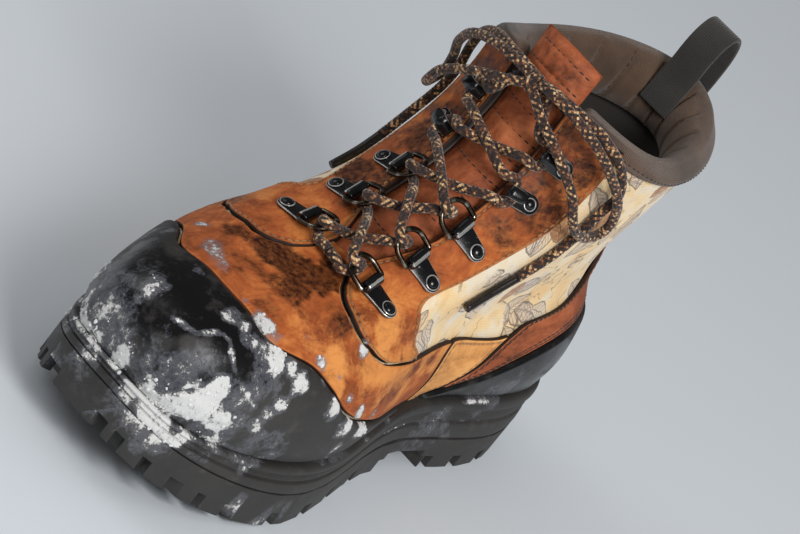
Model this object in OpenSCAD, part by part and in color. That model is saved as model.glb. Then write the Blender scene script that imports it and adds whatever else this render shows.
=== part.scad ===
// Right hiking boot: lugged rubber outsole, rubber toe and heel caps, leather overlays on a
// printed textile bootie, D-ring and hook lacing. Toe towards -Y, inner (medial) side +X,
// treads on Z = 0.

/* [Sole] */
// Length of the outsole, toe to heel
boot_length = 306; // [290:1:322]
// Half width of the outsole at the ball, inner side
ball_medial = 55; // [51:0.5:59]
// Half width of the outsole at the ball, outer side
ball_lateral = 58; // [54:0.5:62]
// Half width of the outsole at the waist, inner side
waist_medial = 38; // [35:0.5:42]
// Half width of the outsole at the waist, outer side
waist_lateral = 46; // [43:0.5:50]
// Half width of the outsole at the heel
heel_half = 41; // [38:0.5:44]
// Thickness of the whole sole under the ball
ball_height = 29; // [26:0.5:32]
// Thickness of the whole sole under the heel
heel_height = 36; // [32:0.5:41]
// How far the tread curls up at the toe
toe_spring = 17; // [12:0.5:21]
// Height of the outsole's side wall above the tread
outsole_wall = 15; // [12:0.5:17]
// Depth of the grooves between the lugs
lug_depth = 6; // [4:0.5:7]
// Width of the grooves between the lugs
groove_width = 6; // [4:0.5:8]
// Distance from one side lug to the next
lug_pitch = 27; // [24:0.5:32]
// Length of the raised arch between forefoot and heel
arch_length = 32; // [24:1:40]
// Ledge of the sole around the upper
welt = 7; // [6:0.5:9]
// How far the toe bends towards the inner side
toe_swing = 7; // [3:0.5:10]

/* [Upper] */
// Height of the toe box above the sole
toe_box = 39; // [35:0.5:44]
// From the toe tip back to the foot of the lacing
throat_back = 100; // [93:1:107]
// Height of the foot of the lacing above the sole
throat_rise = 52; // [48:0.5:57]
// Height of the instep above the heel of the sole
instep_rise = 83; // [77:0.5:89]
// Height of the collar at the front above the heel of the sole
collar_front = 135; // [126:1:144]
// Height of the collar at the sides
collar_side = 122; // [114:1:130]
// Height of the collar at the back
collar_back = 134; // [126:1:142]
// Half width of the shaft at the collar
collar_half = 42; // [39:0.5:46]
// Half width of the shaft at the ankle
ankle_half = 38; // [35:0.5:41]
// From the middle of the boot back to the front of the shaft
shaft_front = 12; // [6:0.5:18]
// How far the ridge of the instep lies towards the inner side
instep_shift = 7.5; // [4:0.5:10]
// How much further the quarter swells on the outer side
outer_swell = 8.5; // [5:0.5:11]
// Thickness of the textile bootie with its lining
bootie_thick = 3; // [2.4:0.1:3.6]
// Thickness of the leather overlays
leather = 1.8; // [1.4:0.1:2.4]
// Thickness of the rubber caps
cap_thick = 3.2; // [2.4:0.1:4]
// Thickness of the padded tongue
tongue_thick = 7; // [5:0.5:9]
// Thickness of the footbed
footbed_thick = 5; // [3:0.5:7]

/* [Lacing] */
// Wire thickness of the D-rings
ring_wire = 2.2; // [1.8:0.1:2.6]
// Inside width of a D-ring
ring_width = 11; // [10:0.5:13]
// Length of a D-ring from its bar to its bow
ring_reach = 10.5; // [9:0.5:12]
// Width of the clip at the bar of its D-ring
clip_width = 9.2; // [8:0.2:10]
// Width of the clip round its rivet
clip_tail = 7.4; // [6.8:0.2:8.4]
// Length of the clip from the ring's bar to the rivet
clip_length = 11; // [10:0.5:13]
// Thickness of the clip's sheet metal
clip_sheet = 1.2; // [0.8:0.1:1.6]
// Diameter of a rivet head
rivet_head = 6.2; // [5.4:0.1:6.6]
// Diameter of the lace
lace_thick = 4; // [3:0.2:4.6]
// Width of the pull loop's webbing
pull_width = 15; // [12:0.5:18]
// Thickness of the pull loop's webbing
pull_sheet = 2; // [1.5:0.1:2.5]
// Height of the pull loop above the collar
pull_rise = 24; // [20:0.5:28]

/* [Hidden] */
ROWS = [1, 2, 3];
HOOK_ROWS = [1, 2];
seat = 0.25;             // air left between pieces that are sewn or glued together
cap_seat = 0.75;         // air behind the stiff caps, which span the curve of the bootie
seam = 0.035;            // gap between neighbouring overlays, in levels of the upper
toe_y = -boot_length / 2;
heel_y = boot_length / 2;
columns = 56;            // columns of the bootie and the sole, all the way round
slot_columns = 4;        // columns left open on each side of the middle of the throat
medial = 1;
lateral = -1;
rubber = [0.10, 0.10, 0.11];
brown = [0.62, 0.36, 0.16];
dark_brown = [0.34, 0.17, 0.09];
tan = [0.72, 0.48, 0.22];
textile = [0.78, 0.70, 0.55];
metal = [0.13, 0.13, 0.14];
lace_colour = [0.36, 0.25, 0.12];

// Curves

function mix(a, b, t) = a + (b - a) * t;
function clamp(t) = max(0, min(1, t));
function unit(v) = v / norm(v);
function span(p, t, i = 0) = (i >= len(p) - 2 || t < p[i + 1][0]) ? i : span(p, t, i + 1);
function slope(p, i) =
    (i == 0 || i == len(p) - 1) ? 0 : (p[i + 1][1] - p[i - 1][1]) / (p[i + 1][0] - p[i - 1][0]);

// Smooth curve through the [position, value] pairs p
function curve(p, t) =
    let (
        i = span(p, t),
        h = p[i + 1][0] - p[i][0],
        u = clamp((t - p[i][0]) / h),
        u2 = u * u,
        u3 = u2 * u
    )
    (2 * u3 - 3 * u2 + 1) * p[i][1] + (u3 - 2 * u2 + u) * h * slope(p, i)
    + (3 * u2 - 2 * u3) * p[i + 1][1] + (u3 - u2) * h * slope(p, i + 1);

// Straight lines through the [position, value] pairs p
function chain(p, t) =
    let (i = span(p, t))
    mix(p[i][1], p[i + 1][1], clamp((t - p[i][0]) / (p[i + 1][0] - p[i][0])));

// Sole: plan outline and side profile, along the boot's length from 0 at the toe to 1 at the heel

spring_reach = 0.34;
heel_bevel = 3;
function along(y) = y / boot_length + 0.5;
function ground(t) =
    toe_spring * pow(max(0, 1 - t / spring_reach), 2.2)
    + heel_bevel * pow(max(0, (t - 0.94) / 0.06), 2);
function sole_top(t) =
    ground(t)
    + curve([[0, ball_height - 6], [0.3, ball_height], [0.8, heel_height], [1, heel_height]], t);
function outsole_top(t) = ground(t) + outsole_wall;
function half_width(side, t) = side > 0
    ? curve([[0, ball_medial - 4], [0.28, ball_medial + 3], [0.6, waist_medial], [0.85, heel_half + 9],
             [1, heel_half + 10]], t)
    : curve([[0, ball_lateral - 7], [0.36, ball_lateral + 1], [0.62, waist_lateral],
             [0.85, heel_half + 9], [1, heel_half + 10]], t);
plan_power = 0.57;
function fold(x, power) = sign(x) * pow(abs(x), power);
function bent(t) = toe_swing * pow(1 - t, 3);
sides_x = [
    for (a = [0 : 2 : 358])
        let (t = (1 + cos(a)) / 2)
        fold(sin(a), plan_power) * half_width(sin(a), t) + bent(t)
];
centre_x = (min(sides_x) + max(sides_x)) / 2;
function swing(t) = bent(t) - centre_x;

// Angle of column i: the columns stand closer together at the toe and the heel
function turn(i) = let (a = i * 360 / columns) a - 6 * sin(2 * a);
throat_angle = turn(slot_columns);

// Plan outline at angle a: 0 at the back of the heel, 90 at the inner side, 180 at the toe
function plan(a, inset) =
    let (y = cos(a) * (boot_length / 2 - inset), t = along(y))
    [fold(sin(a), plan_power) * (half_width(sin(a), t) - inset) + swing(t), y];

// Upper: level 0 is the sole, level 7 the collar. Each level is a ring round the foot.

last_level = 7;
foot_inset = [welt, welt - 2, welt + 1, welt + 7, welt + 10, 0, 0, 0];
shaft_share = [0, 0, 0.05, 0.35, 0.7, 1, 1, 1];
ridge_share = [0, 0, 0.2, 0.6, 1, 1, 0.6, 0.3];
swell_share = [0, 0, 0.1, 0.6, 1, 1, 0.7, 0.5];
ring_power = [plan_power, plan_power, plan_power + 0.03, 0.74, 0.86, 0.95, 1, 1];
shaft_half = [ankle_half, ankle_half, ankle_half, ankle_half, ankle_half, ankle_half,
              (ankle_half + collar_half) / 2, collar_half];
shaft_x = -2;
instep_line = [
    [toe_y + welt, 0],
    [toe_y + welt - 2.5, toe_box * 0.32],
    [toe_y + welt + 6, toe_box * 0.78],
    [toe_y + welt + 40, toe_box + 3],
    [toe_y + throat_back, throat_rise],
    [shaft_front - 22, instep_rise],
    [shaft_front - 4, mix(instep_rise, collar_front, 0.52)],
    [shaft_front, collar_front]
];
heel_line = [
    [heel_y - welt, 0],
    [heel_y - welt + 2, 15],
    [heel_y - welt, 34],
    [heel_y - welt - 5, 50],
    [heel_y - welt - 9, 71],
    [heel_y - welt - 10, 93],
    [heel_y - welt - 7, mix(93, collar_back, 0.5)],
    [heel_y - welt - 4, collar_back]
];
side_line = [0, 14, 32, 43, 63, 86, mix(86, collar_side, 0.52), collar_side];

function ring(k, a) =
    k < 0 ? 2 * ring(0, a) - ring(1, a)
    : k > last_level ? ring(last_level, a) + (k - last_level) * (ring(last_level, a) - ring(last_level - 1, a))
    : let (
        c = cos(a),
        y = mix(instep_line[k][0], heel_line[k][0], (1 + c) / 2),
        t = along(y),
        half = mix(half_width(sin(a), t) - foot_inset[k], shaft_half[k], shaft_share[k]),
        front = pow(max(0, -c), 1.5),
        back = pow(max(0, c), 1.5),
        rise = instep_line[k][1] * front + heel_line[k][1] * back + side_line[k] * (1 - front - back),
        ridge = instep_shift * ridge_share[k] * pow((1 - c) / 2, 1.5),
        swell = outer_swell * swell_share[k] * pow(max(0, -sin(a)), 2)
    )
    [
        fold(sin(a), ring_power[k]) * half + mix(swing(t), shaft_x, shaft_share[k]) + ridge - swell,
        y,
        mix(sole_top(t), heel_height, shaft_share[k]) + rise
    ];

// Point of the upper at level s and angle a, on a smooth curve through the rings
function skin_point(s, a) =
    let (
        k = floor(s),
        u = s - k,
        p = ring(k - 1, a),
        q = ring(k, a),
        r = ring(k + 1, a),
        t = ring(k + 2, a)
    )
    0.5 * (2 * q + (r - p) * u + (2 * p - 5 * q + 4 * r - t) * u * u + (3 * q - p - 3 * r + t) * u * u * u);

step_s = 0.04;
step_a = 1;
function skin_normal(s, a) =
    let (
        up = skin_point(s + step_s, a) - skin_point(s - step_s, a),
        round = skin_point(s, a + step_a) - skin_point(s, a - step_a),
        n = unit(cross(up, round)),
        flat = clamp(s / 0.5)
    )
    unit([n[0], n[1], n[2] * flat]);

// Point at level s and angle a, lifted off the upper by d, and never sunk into the sole
function off(s, a, d) =
    let (p = skin_point(s, a) + d * skin_normal(s, a))
    [p[0], p[1], max(p[2], sole_top(along(p[1])) + seat)];

// Angle from the front: q = 0 is the middle of the toe, positive on the inner side
function front(q) = 180 - q;

// Solids

// Closed sheet between two grids of points
module shell(inner, outer) {
    m = len(outer);
    n = len(outer[0]);
    function there(i, j) = i >= 0 && i < m - 1 && j >= 0 && j < n - 1;
    function o(i, j) = i * n + j;
    function q(i, j) = m * n + o(i, j);
    faces = [
        for (i = [0 : m - 2], j = [0 : n - 2])
            each concat(
                [[o(i, j), o(i + 1, j), o(i + 1, j + 1)], [o(i, j), o(i + 1, j + 1), o(i, j + 1)]],
                [[q(i, j), q(i + 1, j + 1), q(i + 1, j)], [q(i, j), q(i, j + 1), q(i + 1, j + 1)]],
                there(i - 1, j) ? []
                    : [[o(i, j), o(i, j + 1), q(i, j + 1)], [o(i, j), q(i, j + 1), q(i, j)]],
                there(i + 1, j) ? []
                    : [[o(i + 1, j), q(i + 1, j), q(i + 1, j + 1)],
                       [o(i + 1, j), q(i + 1, j + 1), o(i + 1, j + 1)]],
                there(i, j - 1) ? []
                    : [[o(i + 1, j), o(i, j), q(i + 1, j)], [o(i, j), q(i, j), q(i + 1, j)]],
                there(i, j + 1) ? []
                    : [[o(i, j + 1), o(i + 1, j + 1), q(i + 1, j + 1)],
                       [o(i, j + 1), q(i + 1, j + 1), q(i, j + 1)]]
            )
    ];
    polyhedron([for (column = outer) each column, for (column = inner) each column], faces);
}

// Shares from 0 to 1 in n steps, with a narrow first and last step for a rolled edge
function shares(n, edge = 0.03) =
    [0, edge, for (i = [1 : n - 3]) mix(edge, 1 - edge, i / (n - 2)), 1 - edge, 1];

// Sheet on the upper: place(u, v) gives [level, angle], from low to low + thick off the skin
module overlay(place, thick, nu, nv, low = seat, rolled = 0.45) {
    us = shares(nu);
    vs = shares(nv, 0.05);
    function lift(i, j) =
        (i == 0 || i == len(us) - 1 || j == 0 || j == len(vs) - 1) ? thick * (1 - rolled) : thick;
    function sheet(d) = [
        for (i = [0 : len(us) - 1]) [
            for (j = [0 : len(vs) - 1])
                let (p = place(us[i], vs[j]))
                off(p[0], p[1], low + d * lift(i, j))
        ]
    ];
    shell(sheet(0), sheet(1));
}

// Solid between stacked plan outlines, each [inset, height along the boot]
module stack(levels) {
    n = columns;
    points = [
        for (level = levels, i = [0 : n - 1])
            let (p = plan(turn(i), level[0]))
            [p[0], p[1], level[1](along(p[1]))]
    ];
    last = (len(levels) - 1) * n;
    function w(k, i) = k * n + (i % n);
    faces = [
        for (k = [0 : len(levels) - 2], i = [0 : n - 1]) each [
            [w(k, i), w(k, i + 1), w(k + 1, i + 1)],
            [w(k, i), w(k + 1, i + 1), w(k + 1, i)]
        ],
        for (i = [0 : n / 2 - 1]) each [
            [w(0, i + 1), w(0, i), w(0, n - i - 1)],
            if (i > 0) [w(0, i), w(0, n - i), w(0, n - i - 1)],
            [last + i, last + i + 1, last + (n - i - 1) % n],
            if (i > 0) [last + i, last + n - i - 1, last + n - i]
        ]
    ];
    polyhedron(points, [for (f = faces) if (f[0] != f[1] && f[1] != f[2] && f[2] != f[0]) f]);
}

function tangent(path, i) =
    unit(path[min(i + 1, len(path) - 1)] - path[max(i - 1, 0)]);
function carried(path, i, side) =
    let (t = tangent(path, i), s = unit(side - t * (side * t)))
    concat([s], i < len(path) - 1 ? carried(path, i + 1, s) : []);

// Round tube along a path
module tube(path, radius, sides = 8) {
    across = carried(path, 0, unit(cross(tangent(path, 0), [0.13, 0.31, 0.94])));
    points = [
        for (i = [0 : len(path) - 1], k = [0 : sides - 1])
            let (other = cross(tangent(path, i), across[i]), b = k * 360 / sides)
            path[i] + radius * (cos(b) * across[i] + sin(b) * other)
    ];
    function w(i, k) = i * sides + k % sides;
    faces = [
        [for (k = [0 : sides - 1]) k],
        for (i = [0 : len(path) - 2], k = [0 : sides - 1]) each [
            [w(i, k), w(i + 1, k + 1), w(i, k + 1)],
            [w(i, k), w(i + 1, k), w(i + 1, k + 1)]
        ],
        [for (k = [sides - 1 : -1 : 0]) (len(path) - 1) * sides + k]
    ];
    polyhedron(points, faces);
}

// Smooth route through hand-placed points, n steps between neighbours
function route(p, n) = [
    for (i = [0 : len(p) - 2], j = [0 : n - 1])
        let (
            a = p[max(i - 1, 0)], b = p[i], c = p[i + 1], d = p[min(i + 2, len(p) - 1)], u = j / n
        )
        0.5 * (2 * b + (c - a) * u + (2 * a - 5 * b + 4 * c - d) * u * u
               + (3 * b - a - 3 * c + d) * u * u * u),
    p[len(p) - 1]
];

// Place on the upper, d off it: origin, direction to the throat, across, and straight off the skin
function place(s, side, q, d) =
    let (
        a = front(side * q),
        w = skin_normal(s, a),
        inward = skin_point(s, front(side * (q - step_a))) - skin_point(s, front(side * (q + step_a))),
        u = unit(inward - w * (inward * w))
    )
    [off(s, a, d), u, cross(w, u), w];
function at(f, p) = f[0] + p[0] * f[1] + p[1] * f[2] + p[2] * f[3];

module on_skin(f) {
    multmatrix([for (i = [0 : 2]) [f[1][i], f[2][i], f[3][i], f[0][i]]]) children();
}

// Sole pieces

// Part of the sole's length between two heights, across its full width
module profile(low, high) {
    steps = 40;
    rotate([90, 0, 90])
    linear_extrude(4 * ball_lateral, center = true)
    polygon([
        for (i = [0 : steps]) [(i / steps - 0.5) * boot_length, low(i / steps)],
        for (i = [steps : -1 : 0]) [(i / steps - 0.5) * boot_length, high(i / steps)]
    ]);
}

module plan_shape(inset) {
    polygon([for (i = [0 : columns - 1]) plan(-turn(i), inset)]);
}

heel_breast = 0.155 * boot_length - arch_length / 2;
lug_rows = floor(0.5 + (heel_breast - toe_y - 20) / lug_pitch);

// Grooves between the lugs, seen from below
module groove_plan() {
    rib = 15;
    notch = [16, 4.5];
    toe_middle = [0, toe_y + 45];
    // Notches round the toe
    for (q = [9, 21, 41.5], side = [medial, lateral]) {
        p = plan(front(side * q), 0);
        translate(p)
        rotate(atan2(p[1] - toe_middle[1], p[0] - toe_middle[0]))
        square(notch, center = true);
    }
    for (i = [0 : lug_rows]) {
        y = toe_y + 16 + i * lug_pitch;
        for (side = [medial, lateral])
            translate([side * rib, y])
            rotate(side * 18)
            translate([side > 0 ? 0 : -100, -groove_width / 2])
            square([100, groove_width]);
    }
    for (i = [0 : 2])
        for (side = [medial, lateral])
            translate([side * rib * 0.7, heel_breast + arch_length + 10 + i * lug_pitch * 0.78])
            rotate(side * -12)
            translate([side > 0 ? 0 : -100, -groove_width / 2])
            square([100, groove_width]);
    for (side = [medial, lateral])
        translate([side * rib - groove_width / 2, toe_y - 5])
        square([groove_width, boot_length - 25]);
    for (i = [0 : lug_rows - 1])
        translate([0, toe_y + 16 + (i + 0.5) * lug_pitch])
        polygon([[-rib, -groove_width / 2 - 4], [0, -groove_width / 2 + 2], [rib, -groove_width / 2 - 4],
                 [rib, groove_width / 2 - 4], [0, groove_width / 2 + 2], [-rib, groove_width / 2 - 4]]);
    translate([-100, heel_breast]) square([200, arch_length]);
}

module outsole() {
    arch_depth = 3;
    color(rubber)
    difference() {
        intersection() {
            linear_extrude(100) plan_shape(0);
            profile(function (t) ground(t), function (t) outsole_top(t));
        }
        intersection() {
            translate([0, 0, -1]) linear_extrude(100) groove_plan();
            profile(function (t) -5, function (t) ground(t) + lug_depth);
        }
        translate([-100, heel_breast + 2, -1])
        cube([200, arch_length - 4, lug_depth + 1 + arch_depth]);
    }
}

module midsole() {
    function level(share) = function (t) mix(outsole_top(t) + seat, sole_top(t), share);
    color(rubber)
    stack([
        [0.8, level(0)],
        [0, level(0.14)],
        [0.6, level(0.4)],
        [1.6, level(0.7)],
        [0.4, level(0.8)],
        [0.8, level(0.94)],
        [2.2, level(1)]
    ]);
}

module footbed() {
    color(metal)
    intersection() {
        linear_extrude(100) plan_shape(welt + bootie_thick + 0.5);
        profile(function (t) sole_top(t) + seat, function (t) sole_top(t) + seat + footbed_thick);
    }
}

// Upper pieces

bootie_rows = [0, 0.7, 1.4, 2, 2.5, 3, 3.33, 3.67, 4, 4.4, 4.8, 5.2, 5.6, 6, 6.33, 6.67];
bootie_top = bootie_rows[len(bootie_rows) - 1];
throat_row = 8;
top_row = len(bootie_rows) - 1;
mid_column = columns / 2;
forefoot_columns = 10;
heel_columns = 5;

// Panel of the bootie between two columns and two rows
module textile(columns_from, columns_to, rows_from, rows_to) {
    function grid(d) = [
        for (i = [columns_from : columns_to])
            [for (j = [rows_from : rows_to]) off(bootie_rows[j], turn(i), d)]
    ];
    color(textile) shell(grid(-bootie_thick), grid(0));
}

module forefoot_textile() {
    textile(mid_column - forefoot_columns, mid_column + forefoot_columns, 0, throat_row);
}

module side_textile(side) {
    front = mid_column - forefoot_columns;
    if (side > 0) textile(heel_columns, front, 0, throat_row);
    else textile(columns - front, columns - heel_columns, 0, throat_row);
}

module shaft_textile(side) {
    front = mid_column - slot_columns;
    if (side > 0) textile(heel_columns, front, throat_row, top_row);
    else textile(columns - front, columns - heel_columns, throat_row, top_row);
}

module heel_textile() {
    textile(-heel_columns, heel_columns, 0, top_row);
}

cap_edge = [[0, 2.75], [10, 2.72], [25, 2.5], [42, 2.38], [54, 1.98], [62, 1.55], [75, 1.02], [86, 0.55],
            [96, 0.16]];
function cap_top(q) = curve(cap_edge, abs(q));
cap_reach = 95;
vamp_reach = cap_reach + 3.5;

module toe_cap() {
    color(rubber)
    overlay(function (u, v)
        let (q = cap_reach * fold(2 * u - 1, 1.2))
        [mix(0, cap_top(q), v), front(q)], cap_thick, 28, 6, cap_seat);
}

// Front edge of each facing, as [level, angle from the front]: it sweeps further forward on the outer side
inner_front = [[2.25, 78], [2.5, 66], [2.7, 60], [2.88, 55], [3.1, 47], [3.3, 39], [3.48, 31], [3.67, 20.5],
               [3.8, 14], [3.93, 9.5], [4.1, 7], [4.24, 10], [4.4, 15], [4.6, 18.5], [7, 18.5]];
outer_front = [[2.25, 78], [2.5, 66], [2.7, 57], [2.88, 52], [3.1, 42], [3.3, 33], [3.42, 25], [3.56, 18],
               [3.72, 12], [3.9, 8.5], [4.1, 7], [4.24, 10], [4.4, 15], [4.6, 18.5], [7, 18.5]];
function facing_front(side) = side > 0 ? inner_front : outer_front;

// Upper edge of the vamp, which follows the lower part of those edges down to the foxings
lobe_tip = 10;
function vamp_edge(side) = concat(
    [[0, 4.12]],
    [for (i = [lobe_tip : -1 : 1]) [facing_front(side)[i][1], facing_front(side)[i][0]]],
    [[79, 2.22], [101, 1.96]]
);
function vamp_top(q) = chain(vamp_edge(q), abs(q)) - seam;

module vamp() {
    color(brown)
    overlay(function (u, v)
        let (q = vamp_reach * fold(2 * u - 1, 1.15))
        [mix(cap_top(q) + seam, vamp_top(q), v), front(q)], leather, 28, 6,
        facing_seat);
}

facing_rear = [[2.25, 80.5], [2.7, 75], [3.15, 67], [3.5, 58], [3.75, 50.5], [3.97, 47], [4.3, 50], [5.2, 54],
               [7, 53]];
facing_low = 2.25;
facing_seat = 0.45;       // air behind the facing, which spans the curve of the bootie
facing_top = 6.95;

module facing(side) {
    color(brown)
    overlay(function (u, v)
        let (
            s = mix(facing_low, facing_top, v),
            w = side > 0 ? u : 1 - u,
            q = mix(chain(facing_front(side), s), curve(facing_rear, s), w)
        )
        [s, front(side * q)], leather, 7, 22, facing_seat);
}

heel_cap_edge = [[0, 2.1], [20, 2.05], [36, 1.9], [48, 1.66], [58, 1.25], [68, 0.62], [78, 0.14]];
heel_cap_reach = 76;
function heel_cap_top(a) = curve(heel_cap_edge, abs(a));

module heel_cap() {
    color(rubber)
    overlay(function (u, v)
        let (a = heel_cap_reach * fold(2 * u - 1, 1.3))
        [mix(0, heel_cap_top(a), v), a], cap_thick, 22, 5, cap_seat);
}

// Half angle of the heel counter at each level: its front edge leans back from the sole
counter_width = [[0, 74], [0.45, 72], [1.2, 66.5], [1.9, 62.5], [2.3, 59], [2.7, 46], [3.3, 33], [4.1, 20],
                 [4.7, 11]];
counter_reach = 72;
counter_seat = 1.3;       // air behind the counter, which spans the hollow of the ankle
counter_top = 4.7;
foxing_top = [[vamp_reach + 0.5, 1.96], [108, 1.83], [114, 1.82], [118, 1.95]];
foxing_end = 116;
foxing_gap = 0.8;

module foxing(side) {
    color(tan)
    overlay(function (u, v)
        let (
            w = side > 0 ? u : 1 - u,
            start = vamp_reach + 1,
            a = 180 - mix(start, 180 - counter_reach + 1, w),
            low = a < heel_cap_reach + 1 ? heel_cap_top(a) + seam : 0,
            s = mix(low, curve(foxing_top, mix(start, foxing_end, w)), v),
            q = mix(start, 180 - curve(counter_width, s) - foxing_gap, w)
        )
        [s, front(side * q)], leather, 6, 8, 1.5 * seat);
}

module heel_counter() {
    color(dark_brown)
    overlay(function (u, v)
        let (
            a = mix(-counter_reach, counter_reach, u),
            low = heel_cap_top(a) + seam,
            s = mix(low, counter_top, v)
        )
        [s, a * curve(counter_width, s) / curve(counter_width, low)], leather, 16, 8, counter_seat);
}

module backstay() {
    color(brown)
    overlay(function (u, v) [mix(counter_top + seam, bootie_top - 0.02, v), mix(-9, 9, u)],
        leather, 5, 7);
}

// Padded roll round the opening: [lift off the skin, level] round its section
collar_section = [
    [-bootie_thick - seat, 5.75], [-8, 5.8], [-11, 6.15], [-11, 6.65], [-8, 7.05], [-4, 7.15],
    [-1, 7.05], [2.5, 6.9], [2.5, 6.75], [0.2, bootie_top + 0.02],
    [-bootie_thick - seat, bootie_top + 0.02], [-bootie_thick - seat, 6.33], [-bootie_thick - seat, 6]
];
collar_columns = columns / 2 - slot_columns - 1;

module collar() {
    n = 2 * collar_columns;
    m = len(collar_section);
    // Under the facings the roll stays flat
    function swell(a) = clamp((180 - abs(a) - 55) / 20);
    points = [
        for (i = [0 : n])
            let (a = turn(i - collar_columns))
            for (p = collar_section)
                off(p[1], a, p[0] > -2 ? mix(-0.3, p[0], swell(a)) : p[0])
    ];
    function w(i, k) = i * m + k % m;
    last = len(points);
    faces = [
        for (k = [0 : m - 1]) each [[last, w(0, k + 1), w(0, k)], [last + 1, w(n, k), w(n, k + 1)]],
        for (i = [0 : n - 1], k = [0 : m - 1]) each [
            [w(i, k), w(i, k + 1), w(i + 1, k)],
            [w(i, k + 1), w(i + 1, k + 1), w(i + 1, k)]
        ]
    ];
    ends = [for (a = [turn(-collar_columns), turn(collar_columns)]) off(6.4, a, -7)];
    color(dark_brown) polyhedron(concat(points, ends), faces);
}

tongue_top = 7.6;
tongue_foot = bootie_rows[throat_row] - 0.22;
tongue_angle = 24;

module tongue() {
    nu = 8;
    nv = 13;
    under = -bootie_thick - seat;
    function crown(q) = pow(clamp(1 - abs(q) / (throat_angle - 3)), 0.8);
    function puff(j) = clamp((j - 1) / 2) * clamp((nv - j) / 1.5 + 0.3);
    function grid(lift) = [
        for (i = [0 : nu]) [
            for (j = [0 : nv])
                let (
                    q = mix(-tongue_angle, tongue_angle, i / nu),
                    edge = (i == 0 || i == nu || j == nv) ? 0.35 : 1,
                    outer = under + 2.4 * crown(q) * puff(j)
                )
                off(mix(tongue_foot, tongue_top, j / nv), front(q),
                    lift > 0 ? outer : under - tongue_thick * edge * mix(0.35, 1, clamp(j / 3)))
        ]
    ];
    color(brown) shell(grid(0), grid(1));
}

module pull_loop() {
    half = pull_sheet / 2;
    outside = leather + 2 * seat + half;
    over_roll = 2.5 + seat + half;
    inside = 11 + 7 * seat + half;
    outer = [off(5.9, 0, outside), off(6.5, 0, outside + 0.3), off(6.8, 0, over_roll), off(7.1, 0, over_roll)];
    inner = [off(7.1, 0, -inside), off(6.6, 0, -inside), off(6.2, 0, -inside)];
    o = outer[3];
    i = inner[0];
    bend = [
        for (b = [0 : 22.5 : 180])
            [0, mix(o[1], i[1], (1 - cos(b)) / 2), mix(o[2], i[2], b / 180) + pull_rise * (0.35 + 0.65 * sin(b))]
    ];
    path = [for (p = concat(outer, bend, inner)) [p[1], p[2]]];
    n = len(path);
    function side(i) =
        let (t = unit(path[min(i + 1, n - 1)] - path[max(i - 1, 0)]))
        [t[1], -t[0]] * half;
    color(metal)
    translate([outer[0][0], 0, 0])
    rotate([90, 0, 90])
    linear_extrude(pull_width, center = true)
    polygon(concat([for (i = [0 : n - 1]) path[i] + side(i)],
                   [for (i = [n - 1 : -1 : 0]) path[i] - side(i)]));
}

// Lacing hardware. In each piece's own frame +X points to the throat and +Z off the leather.

row_level = [3.8, 4.29, 4.72];
row_q = [29.5, 28.5, 28.5];
row_turn = [50, 42, 34];       // how far a clip leans up from straight across the throat
hook_level = [5.4, 6.1];
hook_q = 28;
plate_lift = leather + facing_seat + 0.4;
barrel = ring_wire / 2 + 0.12;
ring_tilt = -8;

function leaned(f, b) = [f[0], cos(b) * f[1] + sin(b) * f[2], cos(b) * f[2] - sin(b) * f[1], f[3]];
function clip_place(side, row) =
    leaned(place(row_level[row - 1], side, row_q[row - 1], plate_lift), -side * row_turn[row - 1]);
function hook_place(side, row) = place(hook_level[row - 1], side, hook_q, plate_lift);

// Point of the ring's own frame, [towards the bow, across, up], in the clip's frame
function in_ring(p) = [
    clip_length / 2 + p[0] * cos(ring_tilt) + p[2] * sin(ring_tilt),
    p[1],
    barrel + clip_sheet - p[0] * sin(ring_tilt) + p[2] * cos(ring_tilt)
];

module rivet_dome(d) {
    intersection() {
        translate([0, 0, -d * 0.3]) sphere(r = d * 0.583, $fn = 32);
        translate([0, 0, d / 2]) cube([d, d, d], center = true);
    }
}

module clip(side, row) {
    color(metal)
    on_skin(clip_place(side, row)) {
        difference() {
            union() {
                linear_extrude(clip_sheet) {
                    translate([-clip_length / 2, 0]) circle(clip_tail / 2, $fn = 24);
                    polygon([[-clip_length / 2, -clip_tail / 2], [clip_length / 2, -clip_width / 2],
                             [clip_length / 2, clip_width / 2], [-clip_length / 2, clip_tail / 2]]);
                }
                translate([clip_length / 2, 0, barrel + clip_sheet])
                rotate([90, 0, 0])
                cylinder(r = barrel + clip_sheet, h = clip_width, center = true, $fn = 24);
            }
            translate([clip_length / 2, 0, barrel + clip_sheet])
            rotate([90, 0, 0])
            cylinder(r = barrel, h = clip_width + 2, center = true, $fn = 24);
        }
        translate([-clip_length / 2, 0, clip_sheet - 0.2]) cylinder(d = rivet_head, h = 0.8, $fn = 24);
        translate([-clip_length / 2, 0, clip_sheet + 0.6]) rivet_dome(rivet_head - 1.4);
    }
}

ring_r = (ring_width + ring_wire) / 2;
ring_straight = ring_reach - ring_width / 2;

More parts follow.
